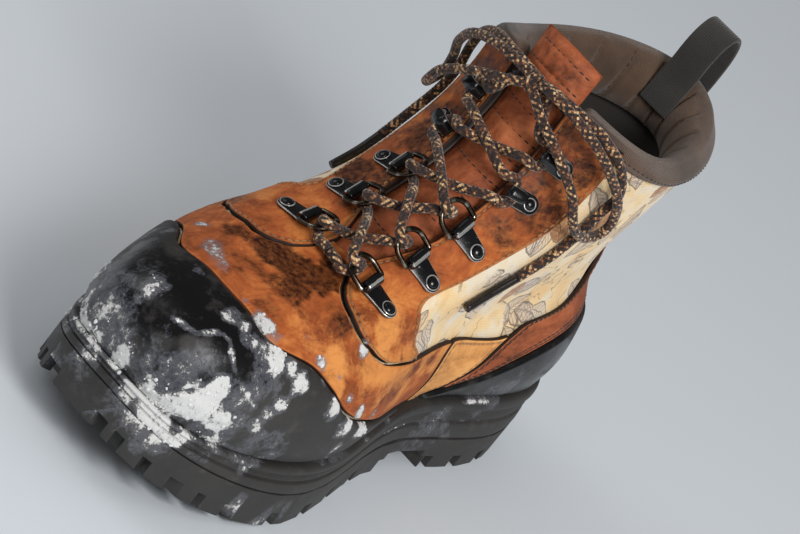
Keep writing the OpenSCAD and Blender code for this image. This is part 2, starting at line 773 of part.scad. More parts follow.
// Closed wire loop: straight bar through the clip, round bow towards the throat
module ring_shape() {
    corner = 1.2;
    sides = 8;
    path = [
        for (b = [-90 : 45 : 90]) [ring_straight + ring_r * cos(b), ring_r * sin(b)],
        for (b = [90 : 45 : 180]) [corner * (1 + cos(b)), ring_r - corner * (1 - sin(b))],
        for (b = [180 : 45 : 270]) [corner * (1 + cos(b)), -ring_r + corner * (1 + sin(b))]
    ];
    n = len(path);
    points = [
        for (i = [0 : n - 1])
            let (
                t = unit(path[(i + 1) % n] - path[(i + n - 1) % n]),
                normal = [t[1], -t[0]]
            )
            for (k = [0 : sides - 1])
                let (b = (k + 0.5) * 360 / sides)
                [
                    path[i][0] + ring_wire / 2 * cos(b) * normal[0],
                    path[i][1] + ring_wire / 2 * cos(b) * normal[1],
                    ring_wire / 2 * sin(b)
                ]
    ];
    function w(i, k) = (i % n) * sides + k % sides;
    polyhedron(points, [
        for (i = [0 : n - 1], k = [0 : sides - 1]) each [
            [w(i, k), w(i + 1, k), w(i + 1, k + 1)],
            [w(i, k), w(i + 1, k + 1), w(i, k + 1)]
        ]
    ]);
}

module d_ring(side, row) {
    color([0.5, 0.5, 0.5])
    on_skin(clip_place(side, row))
    translate(in_ring([0, 0, 0]))
    rotate([0, ring_tilt, 0])
    ring_shape();
}

hook_neck = 5;
hook_wall = 1.4;
hook_mouth = lace_thick + 0.6;

module hook(side, row) {
    top = clip_sheet + hook_mouth;
    bend = 2.2;
    reach = 8;
    color(metal)
    on_skin(hook_place(side, row)) {
        linear_extrude(clip_sheet) {
            translate([-5, 0]) circle(4, $fn = 24);
            translate([-5, -4]) square([9, 8]);
            translate([3, -hook_neck / 2]) square([4, hook_neck]);
        }
        translate([-5, 0, clip_sheet - 0.2]) cylinder(d = 5, h = 0.8, $fn = 24);
        rotate([90, 0, 0])
        linear_extrude(hook_neck, center = true) {
            translate([7 - hook_wall, 0]) square([hook_wall, top + hook_wall - bend]);
            translate([7 - bend, top + hook_wall - bend])
            intersection() {
                difference() {
                    circle(r = bend, $fn = 32);
                    circle(r = bend - hook_wall, $fn = 32);
                }
                square(bend);
            }
            translate([7 - reach, top]) square([reach - bend, hook_wall]);
            translate([7 - reach, top + hook_wall / 2]) circle(d = hook_wall, $fn = 16);
        }
    }
}

// Lace

lace_gap = 0.4;
pass = ring_wire / 2 + lace_thick / 2 + lace_gap;
eye_turn = 0.8;          // share of a clip's lean that the lace takes back round the bow

// Round the bow of a ring: in from below, out on top, where the bow faces the throat
function eye(side, row) = [
    for (p = [
        [ring_r + 2.4, 1.2, -pass], [ring_r - 0.7 * pass, 0.6, -0.72 * pass], [ring_r - pass, 0, 0],
        [ring_r - 0.7 * pass, -0.6, 0.72 * pass], [ring_r + 2.4, -1.2, pass]
    ])
        let (
            b = side * eye_turn * row_turn[row - 1],
            x = ring_straight + p[0] * cos(b) - side * p[1] * sin(b),
            y = p[0] * sin(b) + side * p[1] * cos(b)
        )
        at(clip_place(side, row), in_ring([x, y, p[2]]))
];

// Round the neck of a hook
function catch(side, row) =
    let (
        neck = 7 - hook_wall / 2,
        y = hook_neck / 2 + lace_thick / 2 + lace_gap,
        x = neck - hook_wall / 2 - lace_thick / 2 - lace_gap,
        z = clip_sheet + hook_mouth / 2
    )
    [
        for (p = [[neck + 6, 1.05], [neck - 0.4, 1.05], [x - 0.2, 0], [neck - 0.4, -1.05], [neck + 6, -1.05]])
            at(hook_place(side, row), [p[0], side * y * p[1], z])
    ];

// Where two strands cross on the tongue, one over the other
function crossing(p, q, s, over) =
    (p + q) / 2 + (over ? 1 : -1) * (lace_thick / 2 + 2 * seat) * skin_normal(s, front(0));

first_lift = 1.4;        // the strand between the two lowest rings arches over the vamp
knot_level = 6.86;
knot_lift = 5.2;
knot_core = 2.7;
knot_wrap = 2.3;
knot_frame = place(knot_level, medial, 0, knot_lift);

// Strands leave the knot on both sides, two below and two on top
function knot_exit(side, up, outer) =
    at(knot_frame, [-side * (knot_wrap + lace_gap), -up * 2.1, outer * 2.1]);

function half_route(side) =
    let (
        ends = [eye(lateral, 1)[0], eye(medial, 1)[0]],
        across = unit(ends[1] - ends[0]),
        middle = (ends[0] + ends[1]) / 2 + first_lift * skin_normal(4.2, front(0)),
        a = eye(side, 1), b = eye(-side, 2), c = eye(side, 3), d = catch(-side, 1), e = catch(side, 2),
        k = knot_exit(side, -1, -1)
    )
    concat(
        [middle + side * lace_gap * across, middle + side * 4.5 * across],
        a,
        [crossing(a[4], b[0], mix(row_level[0], row_level[1], 0.5), side > 0)],
        b,
        [crossing(b[4], c[0], mix(row_level[1], row_level[2], 0.5), side < 0)],
        c,
        [crossing(c[4], d[0], mix(row_level[2], hook_level[0], 0.5), side > 0)],
        d,
        [crossing(d[4], e[0], mix(hook_level[0], hook_level[1], 0.5), side < 0)],
        e,
        [k + [side * 5, 0, 0], k]
    );

module lace_half(side) {
    color(lace_colour) tube(route(half_route(side), 2), lace_thick / 2);
}

module lace_knot() {
    color(lace_colour)
    on_skin(knot_frame)
    rotate([0, 90, 0])
    rotate_extrude($fn = 24)
    translate([knot_core, 0])
    circle(r = knot_wrap, $fn = 16);
}

// Free lace, as [level, angle from the front, lift off the skin]
bow_route = [
    [6.95, 18, 11], [6.8, 36, 12.5], [6.35, 54, 11], [5.85, 66, 8], [5.45, 70, 6.5], [5.3, 62, 8],
    [5.45, 50, 11], [5.85, 38, 14], [6.3, 24, 13.5], [6.6, 12, 11.5]
];
end_route = [
    [6.98, 22, 4.5], [6.96, 38, 4.6], [6.75, 52, 5.6], [6.3, 61, 5.6], [5.8, 64, 3.6], [5.3, 66, 2.6],
    [4.8, 69, 2.4], [4.3, 72, 2.4]
];
function lifted(points, side) = [for (p = points) off(p[0], front(side * p[1]), p[2])];

module bow(side) {
    color(lace_colour)
    tube(route(concat([knot_exit(side, 1, 1)], lifted(bow_route, side), [knot_exit(side, -1, 1)]), 2),
        lace_thick / 2);
}

module lace_end(side) {
    color(lace_colour)
    tube(route(concat([knot_exit(side, 1, -1)], lifted(end_route, side)), 2), lace_thick / 2);
}

module aglet(side) {
    path = lifted([[4.29, 72, 2.4], [3.95, 73, 2.3], [3.6, 74, 2.3]], side);
    color(metal) tube(path, lace_thick * 0.46, 12);
}

outsole();
midsole();
footbed();
forefoot_textile();
side_textile(medial);  // medial_textile
side_textile(lateral);  // lateral_textile
shaft_textile(medial);  // medial_shaft_textile
shaft_textile(lateral);  // lateral_shaft_textile
heel_textile();
vamp();
toe_cap();
heel_cap();
facing(medial);  // medial_facing
facing(lateral);  // lateral_facing
foxing(medial);  // medial_foxing
foxing(lateral);  // lateral_foxing
heel_counter();
backstay();
collar();
tongue();
pull_loop();
for (row = ROWS) {
    clip(medial, row);
    clip(lateral, row);
    d_ring(medial, row);
    d_ring(lateral, row);
}
for (row = HOOK_ROWS) {
    hook(medial, row);
    hook(lateral, row);
}
lace_half(medial);  // lace_medial_half
lace_half(lateral);  // lace_lateral_half
lace_knot();
bow(medial);  // medial_bow
bow(lateral);  // lateral_bow
lace_end(medial);  // medial_lace_end
lace_end(lateral);  // lateral_lace_end
aglet(medial);  // medial_aglet
aglet(lateral);  // lateral_aglet
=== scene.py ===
import math

import bmesh
import bpy
import numpy as np
from mathutils import Matrix, Vector


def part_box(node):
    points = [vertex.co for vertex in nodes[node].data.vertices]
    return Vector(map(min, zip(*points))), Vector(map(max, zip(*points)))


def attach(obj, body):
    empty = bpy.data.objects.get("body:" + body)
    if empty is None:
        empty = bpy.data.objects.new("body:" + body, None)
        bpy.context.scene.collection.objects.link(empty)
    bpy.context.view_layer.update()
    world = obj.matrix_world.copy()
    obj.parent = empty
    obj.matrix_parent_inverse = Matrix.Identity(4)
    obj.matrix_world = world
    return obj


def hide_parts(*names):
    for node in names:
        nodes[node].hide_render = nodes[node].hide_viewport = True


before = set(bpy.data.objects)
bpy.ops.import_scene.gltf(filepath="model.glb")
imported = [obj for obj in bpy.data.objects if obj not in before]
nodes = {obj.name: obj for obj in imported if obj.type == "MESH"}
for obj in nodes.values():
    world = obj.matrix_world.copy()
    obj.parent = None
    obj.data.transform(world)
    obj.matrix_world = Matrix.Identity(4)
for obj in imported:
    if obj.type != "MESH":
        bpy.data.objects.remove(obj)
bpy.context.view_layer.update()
print("stage: the packed boot is loaded,", len(nodes), "nodes")

toMetres = 0.001            # the boot's own sizes below are in millimetres
medial, lateral = 1, -1
sideName = {medial: "medial", lateral: "lateral"}


# camera, floor and light

cameraView = {
    "azimuth": 22.19,       # degrees from straight ahead of the toe
    "elevation": 21.56,
    "roll": 38.31,
    "distance": 1.507,      # metres from the pivot
    "pivot": (0, 0, 0.06),
    "aim": (0.004, 0.006, 0.078),
    "lens": 178,
}
stageLook = {
    "floorColour": (0.62, 0.66, 0.70, 1),
    "floorRadius": 14,
    "worldLight": 0.50,         # on matt surfaces
    "worldShine": 0.10,         # in reflections, so that dark pieces stay dark
    "lamps": {                  # place, size and power
        "key": ((1.2, -0.85, 1.05), 0.7, 22),
        "fill": ((-1.3, -0.5, 1.1), 1.0, 4),
    },
}


def makeCamera():
    az, el, roll = (math.radians(cameraView[k]) for k in ("azimuth", "elevation", "roll"))
    toward = Vector((math.sin(az) * math.cos(el), -math.cos(az) * math.cos(el), math.sin(el)))
    place = Vector(cameraView["pivot"]) + toward * cameraView["distance"]
    back = (place - Vector(cameraView["aim"])).normalized()
    right = Vector((0, 0, 1)).cross(back).normalized()
    up = back.cross(right)
    x = right * math.cos(roll) + up * math.sin(roll)
    y = up * math.cos(roll) - right * math.sin(roll)
    data = bpy.data.cameras.new("camera")
    data.lens = cameraView["lens"]
    data.clip_start, data.clip_end = 0.05, 50
    camera = bpy.data.objects.new("camera", data)
    camera.matrix_world = Matrix((x, y, back)).transposed().to_4x4()
    camera.location = place
    bpy.context.scene.collection.objects.link(camera)
    bpy.context.scene.camera = camera


def makeLamp(name, place, size, power):
    data = bpy.data.lights.new(name, "AREA")
    data.energy = power
    data.size = size
    lamp = bpy.data.objects.new(name, data)
    lamp.location = place
    aim = Vector(cameraView["pivot"]) - Vector(place)
    lamp.rotation_euler = aim.to_track_quat("-Z", "Y").to_euler()
    bpy.context.scene.collection.objects.link(lamp)


def makeWorld():
    world = bpy.data.worlds.new("studio")
    bpy.context.scene.world = world
    world.use_nodes = True
    tree = world.node_tree
    light = tree.nodes["Background"]
    light.inputs["Color"].default_value = (1, 1, 1, 1)
    light.inputs["Strength"].default_value = stageLook["worldLight"]
    shown = tree.nodes.new("ShaderNodeBackground")
    shown.inputs["Color"].default_value = stageLook["floorColour"]
    shine = tree.nodes.new("ShaderNodeBackground")
    shine.inputs["Strength"].default_value = stageLook["worldShine"]
    ray = tree.nodes.new("ShaderNodeLightPath")
    result = light
    for kind, other in (("Is Glossy Ray", shine), ("Is Camera Ray", shown)):
        pick = tree.nodes.new("ShaderNodeMixShader")
        tree.links.new(ray.outputs[kind], pick.inputs[0])
        tree.links.new(result.outputs[0], pick.inputs[1])
        tree.links.new(other.outputs[0], pick.inputs[2])
        result = pick
    tree.links.new(result.outputs[0], tree.nodes["World Output"].inputs["Surface"])


def makeStage():
    bpy.context.scene.view_settings.view_transform = "Standard"
    bpy.ops.mesh.primitive_circle_add(vertices=96, radius=stageLook["floorRadius"], fill_type="NGON")
    floor = bpy.context.object
    floor.name = "floor"
    material = bpy.data.materials.new("paleFloor")
    material.use_nodes = True
    shader = material.node_tree.nodes["Principled BSDF"]
    shader.inputs["Base Color"].default_value = stageLook["floorColour"]
    shader.inputs["Roughness"].default_value = 0.85
    floor.data.materials.append(material)
    makeWorld()
    for name, (place, size, power) in stageLook["lamps"].items():
        makeLamp(name, place, size, power)


makeCamera()
makeStage()
print("stage: camera, floor and lamps")


# the last: the form that every piece of the upper lies on, in millimetres

outsoleLow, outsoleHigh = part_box("outsole")
last = {
    "length": round((outsoleHigh.y - outsoleLow.y) / toMetres, 1),
    "ballMedial": 55, "ballLateral": 58, "waistMedial": 38, "waistLateral": 46, "heelHalf": 41,
    "ballHeight": 29, "heelHeight": 36, "toeSpring": 17, "outsoleWall": 15,
    "springReach": 0.34, "heelBevel": 3, "planPower": 0.57, "welt": 7, "toeSwing": 7,
    "toeBox": 39, "throatBack": 100, "throatRise": 52, "instepRise": 83,
    "collarFront": 135, "collarSide": 122, "collarBack": 134, "collarHalf": 42, "ankleHalf": 38,
    "shaftFront": 12, "shaftX": -2, "instepShift": 7.5, "outerSwell": 8.5,
    "bootieThick": 3, "seat": 0.25, "facingSeat": 0.45, "capSeat": 0.75, "counterSeat": 0.6,
    "leather": 1.8, "capThick": 3.2, "seam": 0.035,
}
toeY = -last["length"] / 2
heelY = last["length"] / 2
welt = last["welt"]
seat = last["seat"]
planPower = last["planPower"]


def mix(a, b, t):
    return a + (b - a) * t


def clamp(t):
    return np.clip(t, 0, 1)


# Smooth curve through pairs of place and value, and a straight one
def curve(pairs, t):
    p, v = (np.array([pair[i] for pair in pairs], float) for i in (0, 1))
    slope = np.zeros(len(p))
    slope[1:-1] = (v[2:] - v[:-2]) / (p[2:] - p[:-2])
    t = np.asarray(t, float)
    i = np.clip(np.searchsorted(p, t, side="right") - 1, 0, len(p) - 2)
    h = p[i + 1] - p[i]
    u = clamp((t - p[i]) / h)
    return ((2 * u**3 - 3 * u**2 + 1) * v[i] + (u**3 - 2 * u**2 + u) * h * slope[i]
            + (3 * u**2 - 2 * u**3) * v[i + 1] + (u**3 - u**2) * h * slope[i + 1])


def chain(pairs, t):
    return np.interp(t, [p[0] for p in pairs], [p[1] for p in pairs])


def sine(a):
    return np.sin(np.radians(a))


def cosine(a):
    return np.cos(np.radians(a))


# Power of a value that keeps its sign
def fold(x, power):
    return np.sign(x) * np.abs(x) ** power


# Share of the sole's length, from the toe
def along(y):
    return y / last["length"] + 0.5


def ground(t):
    toe = last["toeSpring"] * np.maximum(0, 1 - t / last["springReach"]) ** 2.2
    return toe + last["heelBevel"] * np.maximum(0, (t - 0.94) / 0.06) ** 2


def soleTop(t):
    ball, heel = last["ballHeight"], last["heelHeight"]
    return ground(t) + curve([[0, ball - 6], [0.3, ball], [0.8, heel], [1, heel]], t)


def outsoleTop(t):
    return ground(t) + last["outsoleWall"]


def halfWidth(side, t):
    inner, outer, heel = last["ballMedial"], last["ballLateral"], last["heelHalf"]
    rear = [[0.85, heel + 9], [1, heel + 10]]
    inside = [[0, inner - 4], [0.28, inner + 3], [0.6, last["waistMedial"]]]
    outside = [[0, outer - 7], [0.36, outer + 1], [0.62, last["waistLateral"]]]
    return np.where(side > 0, curve(inside + rear, t), curve(outside + rear, t))


def bent(t):
    return last["toeSwing"] * (1 - t) ** 3


def centreOfSides():
    a = np.arange(0, 360, 2.0)
    t = (1 + cosine(a)) / 2
    x = fold(sine(a), planPower) * halfWidth(sine(a), t) + bent(t)
    return (x.min() + x.max()) / 2


centreX = centreOfSides()


def swing(t):
    return bent(t) - centreX


# Outline of the sole seen from above, at an angle from the heel
def plan(a, inset):
    y = cosine(a) * (last["length"] / 2 - inset)
    t = along(y)
    x = fold(sine(a), planPower) * (halfWidth(sine(a), t) - inset) + swing(t)
    return x, y


# Rings of the last, from the sole's ledge (level 0) to the collar's edge (level 7)
lastLevel = 7
rings = {
    "inset": [welt, welt - 2, welt + 1, welt + 7, welt + 10, 0, 0, 0],
    "shaft": [0, 0, 0.05, 0.35, 0.7, 1, 1, 1],
    "ridge": [0, 0, 0.2, 0.6, 1, 1, 0.6, 0.3],
    "swell": [0, 0, 0.1, 0.6, 1, 1, 0.7, 0.5],
    "power": [planPower, planPower, planPower + 0.03, 0.74, 0.86, 0.95, 1, 1],
    "half": [last["ankleHalf"]] * 6 + [(last["ankleHalf"] + last["collarHalf"]) / 2, last["collarHalf"]],
    "instep": [
        [toeY + welt, 0],
        [toeY + welt - 2.5, last["toeBox"] * 0.32],
        [toeY + welt + 6, last["toeBox"] * 0.78],
        [toeY + welt + 40, last["toeBox"] + 3],
        [toeY + last["throatBack"], last["throatRise"]],
        [last["shaftFront"] - 22, last["instepRise"]],
        [last["shaftFront"] - 4, mix(last["instepRise"], last["collarFront"], 0.52)],
        [last["shaftFront"], last["collarFront"]],
    ],
    "heel": [
        [heelY - welt, 0], [heelY - welt + 2, 15], [heelY - welt, 34], [heelY - welt - 5, 50],
        [heelY - welt - 9, 71], [heelY - welt - 10, 93],
        [heelY - welt - 7, mix(93, last["collarBack"], 0.5)], [heelY - welt - 4, last["collarBack"]],
    ],
    "side": [0, 14, 32, 43, 63, 86, mix(86, last["collarSide"], 0.52), last["collarSide"]],
}


def ring(k, a):
    if k < 0:
        return 2 * ring(0, a) - ring(1, a)
    if k > lastLevel:
        return ring(lastLevel, a) + (k - lastLevel) * (ring(lastLevel, a) - ring(lastLevel - 1, a))
    c, s = cosine(a), sine(a)
    share = rings["shaft"][k]
    y = mix(rings["instep"][k][0], rings["heel"][k][0], (1 + c) / 2)
    t = along(y)
    half = mix(halfWidth(s, t) - rings["inset"][k], rings["half"][k], share)
    ahead, behind = np.maximum(0, -c) ** 1.5, np.maximum(0, c) ** 1.5
    rise = rings["instep"][k][1] * ahead + rings["heel"][k][1] * behind
    rise = rise + rings["side"][k] * (1 - ahead - behind)
    ridge = last["instepShift"] * rings["ridge"][k] * ((1 - c) / 2) ** 1.5
    swell = last["outerSwell"] * rings["swell"][k] * np.maximum(0, -s) ** 2
    x = fold(s, rings["power"][k]) * half + mix(swing(t), last["shaftX"], share) + ridge - swell
    return np.stack([x, y, mix(soleTop(t), last["heelHeight"], share) + rise], -1)


# Value of a smooth line at u, between b and c
def between(a, b, c, d, u):
    return 0.5 * (2 * b + (c - a) * u + (2 * a - 5 * b + 4 * c - d) * u**2 + (3 * b - a - 3 * c + d) * u**3)


def skinPoint(s, a):
    s, a = np.broadcast_arrays(np.asarray(s, float), np.asarray(a, float))
    out = np.zeros(s.shape + (3,))
    level = np.floor(s).astype(int)
    for k in np.unique(level):
        chosen = level == k
        nearby = (ring(k + step, a[chosen]) for step in (-1, 0, 1, 2))
        out[chosen] = between(*nearby, (s[chosen] - k)[:, None])
    return out


def unit(v):
    return v / np.linalg.norm(v, axis=-1, keepdims=True)


def skinNormal(s, a):
    up = skinPoint(s + 0.04, a) - skinPoint(s - 0.04, a)
    around = skinPoint(s, a + 1) - skinPoint(s, a - 1)
    n = unit(np.cross(up, around))
    n[..., 2] *= clamp(np.asarray(s) / 0.5)
    return unit(n)


# Point of the upper: its level, its angle from the heel and its lift off the last
def off(s, a, lift):
    s, a, lift = np.broadcast_arrays(np.asarray(s, float), np.asarray(a, float), np.asarray(lift, float))
    p = skinPoint(s, a) + lift[..., None] * skinNormal(s, a)
    p[..., 2] = np.maximum(p[..., 2], soleTop(along(p[..., 1])) + seat)
    return p


def front(q):
    return 180 - q


# Smooth noise on a lattice, the same on each run
latticeSize = 32
lattice = np.random.RandomState(7).rand(latticeSize, latticeSize, latticeSize)


def noiseAt(p, size, seed=0):
    g = np.asarray(p) / size + 11.3 * seed
    i = np.floor(g).astype(int)
    f = g - i
    f = f * f * (3 - 2 * f)
    total = 0
    for corner in np.ndindex(2, 2, 2):
        value = lattice[tuple((i[..., k] + corner[k]) % latticeSize for k in range(3))]
        weights = [np.where(corner[k], f[..., k], 1 - f[..., k]) for k in range(3)]
        total = total + value * (weights[0] * weights[1] * weights[2])
    return total


def roughNoise(p, size, seed=0, octaves=4):
    parts = [noiseAt(p, size / 2**k, seed + k) / 2**k for k in range(octaves)]
    return sum(parts) / sum(1 / 2**k for k in range(octaves))


# mesh helpers

def linked(name, data):
    piece = bpy.data.objects.new(name, data)
    bpy.context.scene.collection.objects.link(piece)
    return piece


# Mesh of points in metres
def plainMesh(name, points, edges, faces):
    data = bpy.data.meshes.new(name)
    data.from_pydata(points.tolist(), edges, faces)
    return data


def makeMesh(name, points, faces):
    data = plainMesh(name, np.asarray(points) * toMetres, [], faces)
    data.validate()
    data.shade_smooth()
    return linked(name, data)


# Plain mesh of what a piece's modifiers make
def bakedCopy(piece, name):
    graph = bpy.context.evaluated_depsgraph_get()
    data = bpy.data.meshes.new_from_object(piece.evaluated_get(graph))
    bpy.data.objects.remove(piece)
    data.name = name
    data.shade_smooth()
    return linked(name, data)


def pointsOf(piece):
    points = np.zeros(3 * len(piece.data.vertices), np.float32)
    piece.data.vertices.foreach_get("co", points)
    return points.reshape(-1, 3) / toMetres


def outwards(piece):
    shape = bmesh.new()
    shape.from_mesh(piece.data)
    bmesh.ops.recalc_face_normals(shape, faces=shape.faces)
    shape.to_mesh(piece.data)
    shape.free()
    return piece


def setValues(piece, name, values):
    values = np.zeros(len(piece.data.vertices), np.float32) + np.asarray(values, np.float32).ravel()
    piece.data.attributes.new(name, "FLOAT", "POINT").data.foreach_set("value", values)


def setUv(piece, *maps):
    uv = (np.concatenate(maps) * toMetres).astype(np.float32)
    corners = np.zeros(len(piece.data.loops), np.int32)
    piece.data.loops.foreach_get("vertex_index", corners)
    piece.data.uv_layers.new(name="UVMap").data.foreach_set("uv", uv[corners].ravel())


# Map of a closed sheet: both walls read the same place
def mapSheet(piece, across, up):
    flat = np.stack([across, up], -1).reshape(-1, 2)
    setUv(piece, flat, flat)


# Map of a loft, whose two poles come last
def mapLoft(piece, across, up):
    flat = np.stack([across, up], -1)
    setUv(piece, flat.reshape(-1, 2), flat[0, :1], flat[-1, :1])


def gridFaces(n, m, start=0, flip=False):
    corners = [start + i * m + j for i in range(n - 1) for j in range(m - 1)]
    faces = [(a, a + m, a + m + 1, a + 1) for a in corners]
    return [face[::-1] for face in faces] if flip else faces


# Closed sheet between two grids of points, the outer one first
def closedSheet(name, outer, inner):
    n, m = outer.shape[:2]
    count = n * m
    grid = np.arange(count).reshape(n, m)
    rim = [int(k) for k in np.concatenate([grid[:-1, 0], grid[-1, :-1], grid[:0:-1, -1], grid[0, :0:-1]])]
    faces = gridFaces(n, m) + gridFaces(n, m, count, True)
    faces += [(b, a, a + count, b + count) for a, b in zip(rim, rim[1:] + rim[:1])]
    return makeMesh(name, np.concatenate([outer.reshape(-1, 3), inner.reshape(-1, 3)]), faces)


# Faces between n rings of m points
def ringFaces(n, m, closed=False):
    faces = []
    for i in range(n if closed else n - 1):
        here, there = i * m, (i + 1) % n * m
        for k in range(m):
            j = (k + 1) % m
            faces.append((here + k, here + j, there + j, there + k))
    return faces


# The same with a flat end on the first and the last ring
def cappedFaces(n, m):
    return ringFaces(n, m) + [tuple(range(m))[::-1], tuple(range((n - 1) * m, n * m))]


# The same with a pole at each end; the poles are the last two points
def loftFaces(n, m, flip=False):
    faces = ringFaces(n, m)
    for k in range(m):
        j = (k + 1) % m
        faces += [(n * m, j, k), (n * m + 1, (n - 1) * m + k, (n - 1) * m + j)]
    return [(face[0], *face[:0:-1]) for face in faces] if flip else faces


def loft(name, loops):
    points = np.concatenate([loops.reshape(-1, 3), [loops[0].mean(0), loops[-1].mean(0)]])
    return makeMesh(name, points, loftFaces(*loops.shape[:2]))


def finishPiece(piece, material, slot, *replaced):
    piece.data.materials.clear()
    piece.data.materials.append(material)
    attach(piece, "root")
    if replaced:
        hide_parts(*replaced)
    return piece


# Way covered along an axis of a grid, or along a line
def distances(points, axis=0):
    steps = np.linalg.norm(np.diff(points, axis=axis), axis=-1)
    zero = np.zeros_like(np.take(steps, [0], axis=axis))
    return np.concatenate([zero, np.cumsum(steps, axis=axis)], axis=axis)


# Smooth closed or open line through points, with n steps between neighbours
def smoothLine(points, n, closed=False):
    p = np.asarray(points, float)
    p = np.concatenate([p[-1:], p, p[:2]] if closed else [p[:1], p, p[-1:]])
    out = [between(*p[i - 1:i + 3], u) for i in range(1, len(p) - 2) for u in np.arange(n) / n]
    return np.array(out if closed else out + [p[-2]])


# marks on the boot: where it is wet, rubbed pale or frosted, and where shade is painted on the leather

# Blobs on the upper: level, angle from the front, radius and strength
def onUpper(blobs):
    return [(off(s, front(q), 2.5), radius, strength) for s, q, radius, strength in blobs]


# Blobs on the sole's wall: angle from the front, height off the ground, radius and strength
def onSole(blobs):
    placed = []
    for q, height, radius, strength in blobs:
        x, y = plan(front(q), 0)
        placed.append((np.array([x, y, ground(along(y)) + height]), radius, strength))
    return placed


# Thin line of frost over the cap: level against angle from the front
thinPath = [[-0.5, 1.8], [1.5, 1.8], [6.5, 1.83], [9, 1.98], [13, 2.12], [18, 2.02], [25, 1.78], [32, 1.58],
            [38, 1.42]]
thinLine = [(float(curve(thinPath, q)), q, 1.5, 1.15) for q in np.linspace(-0.5, 38, 64)]

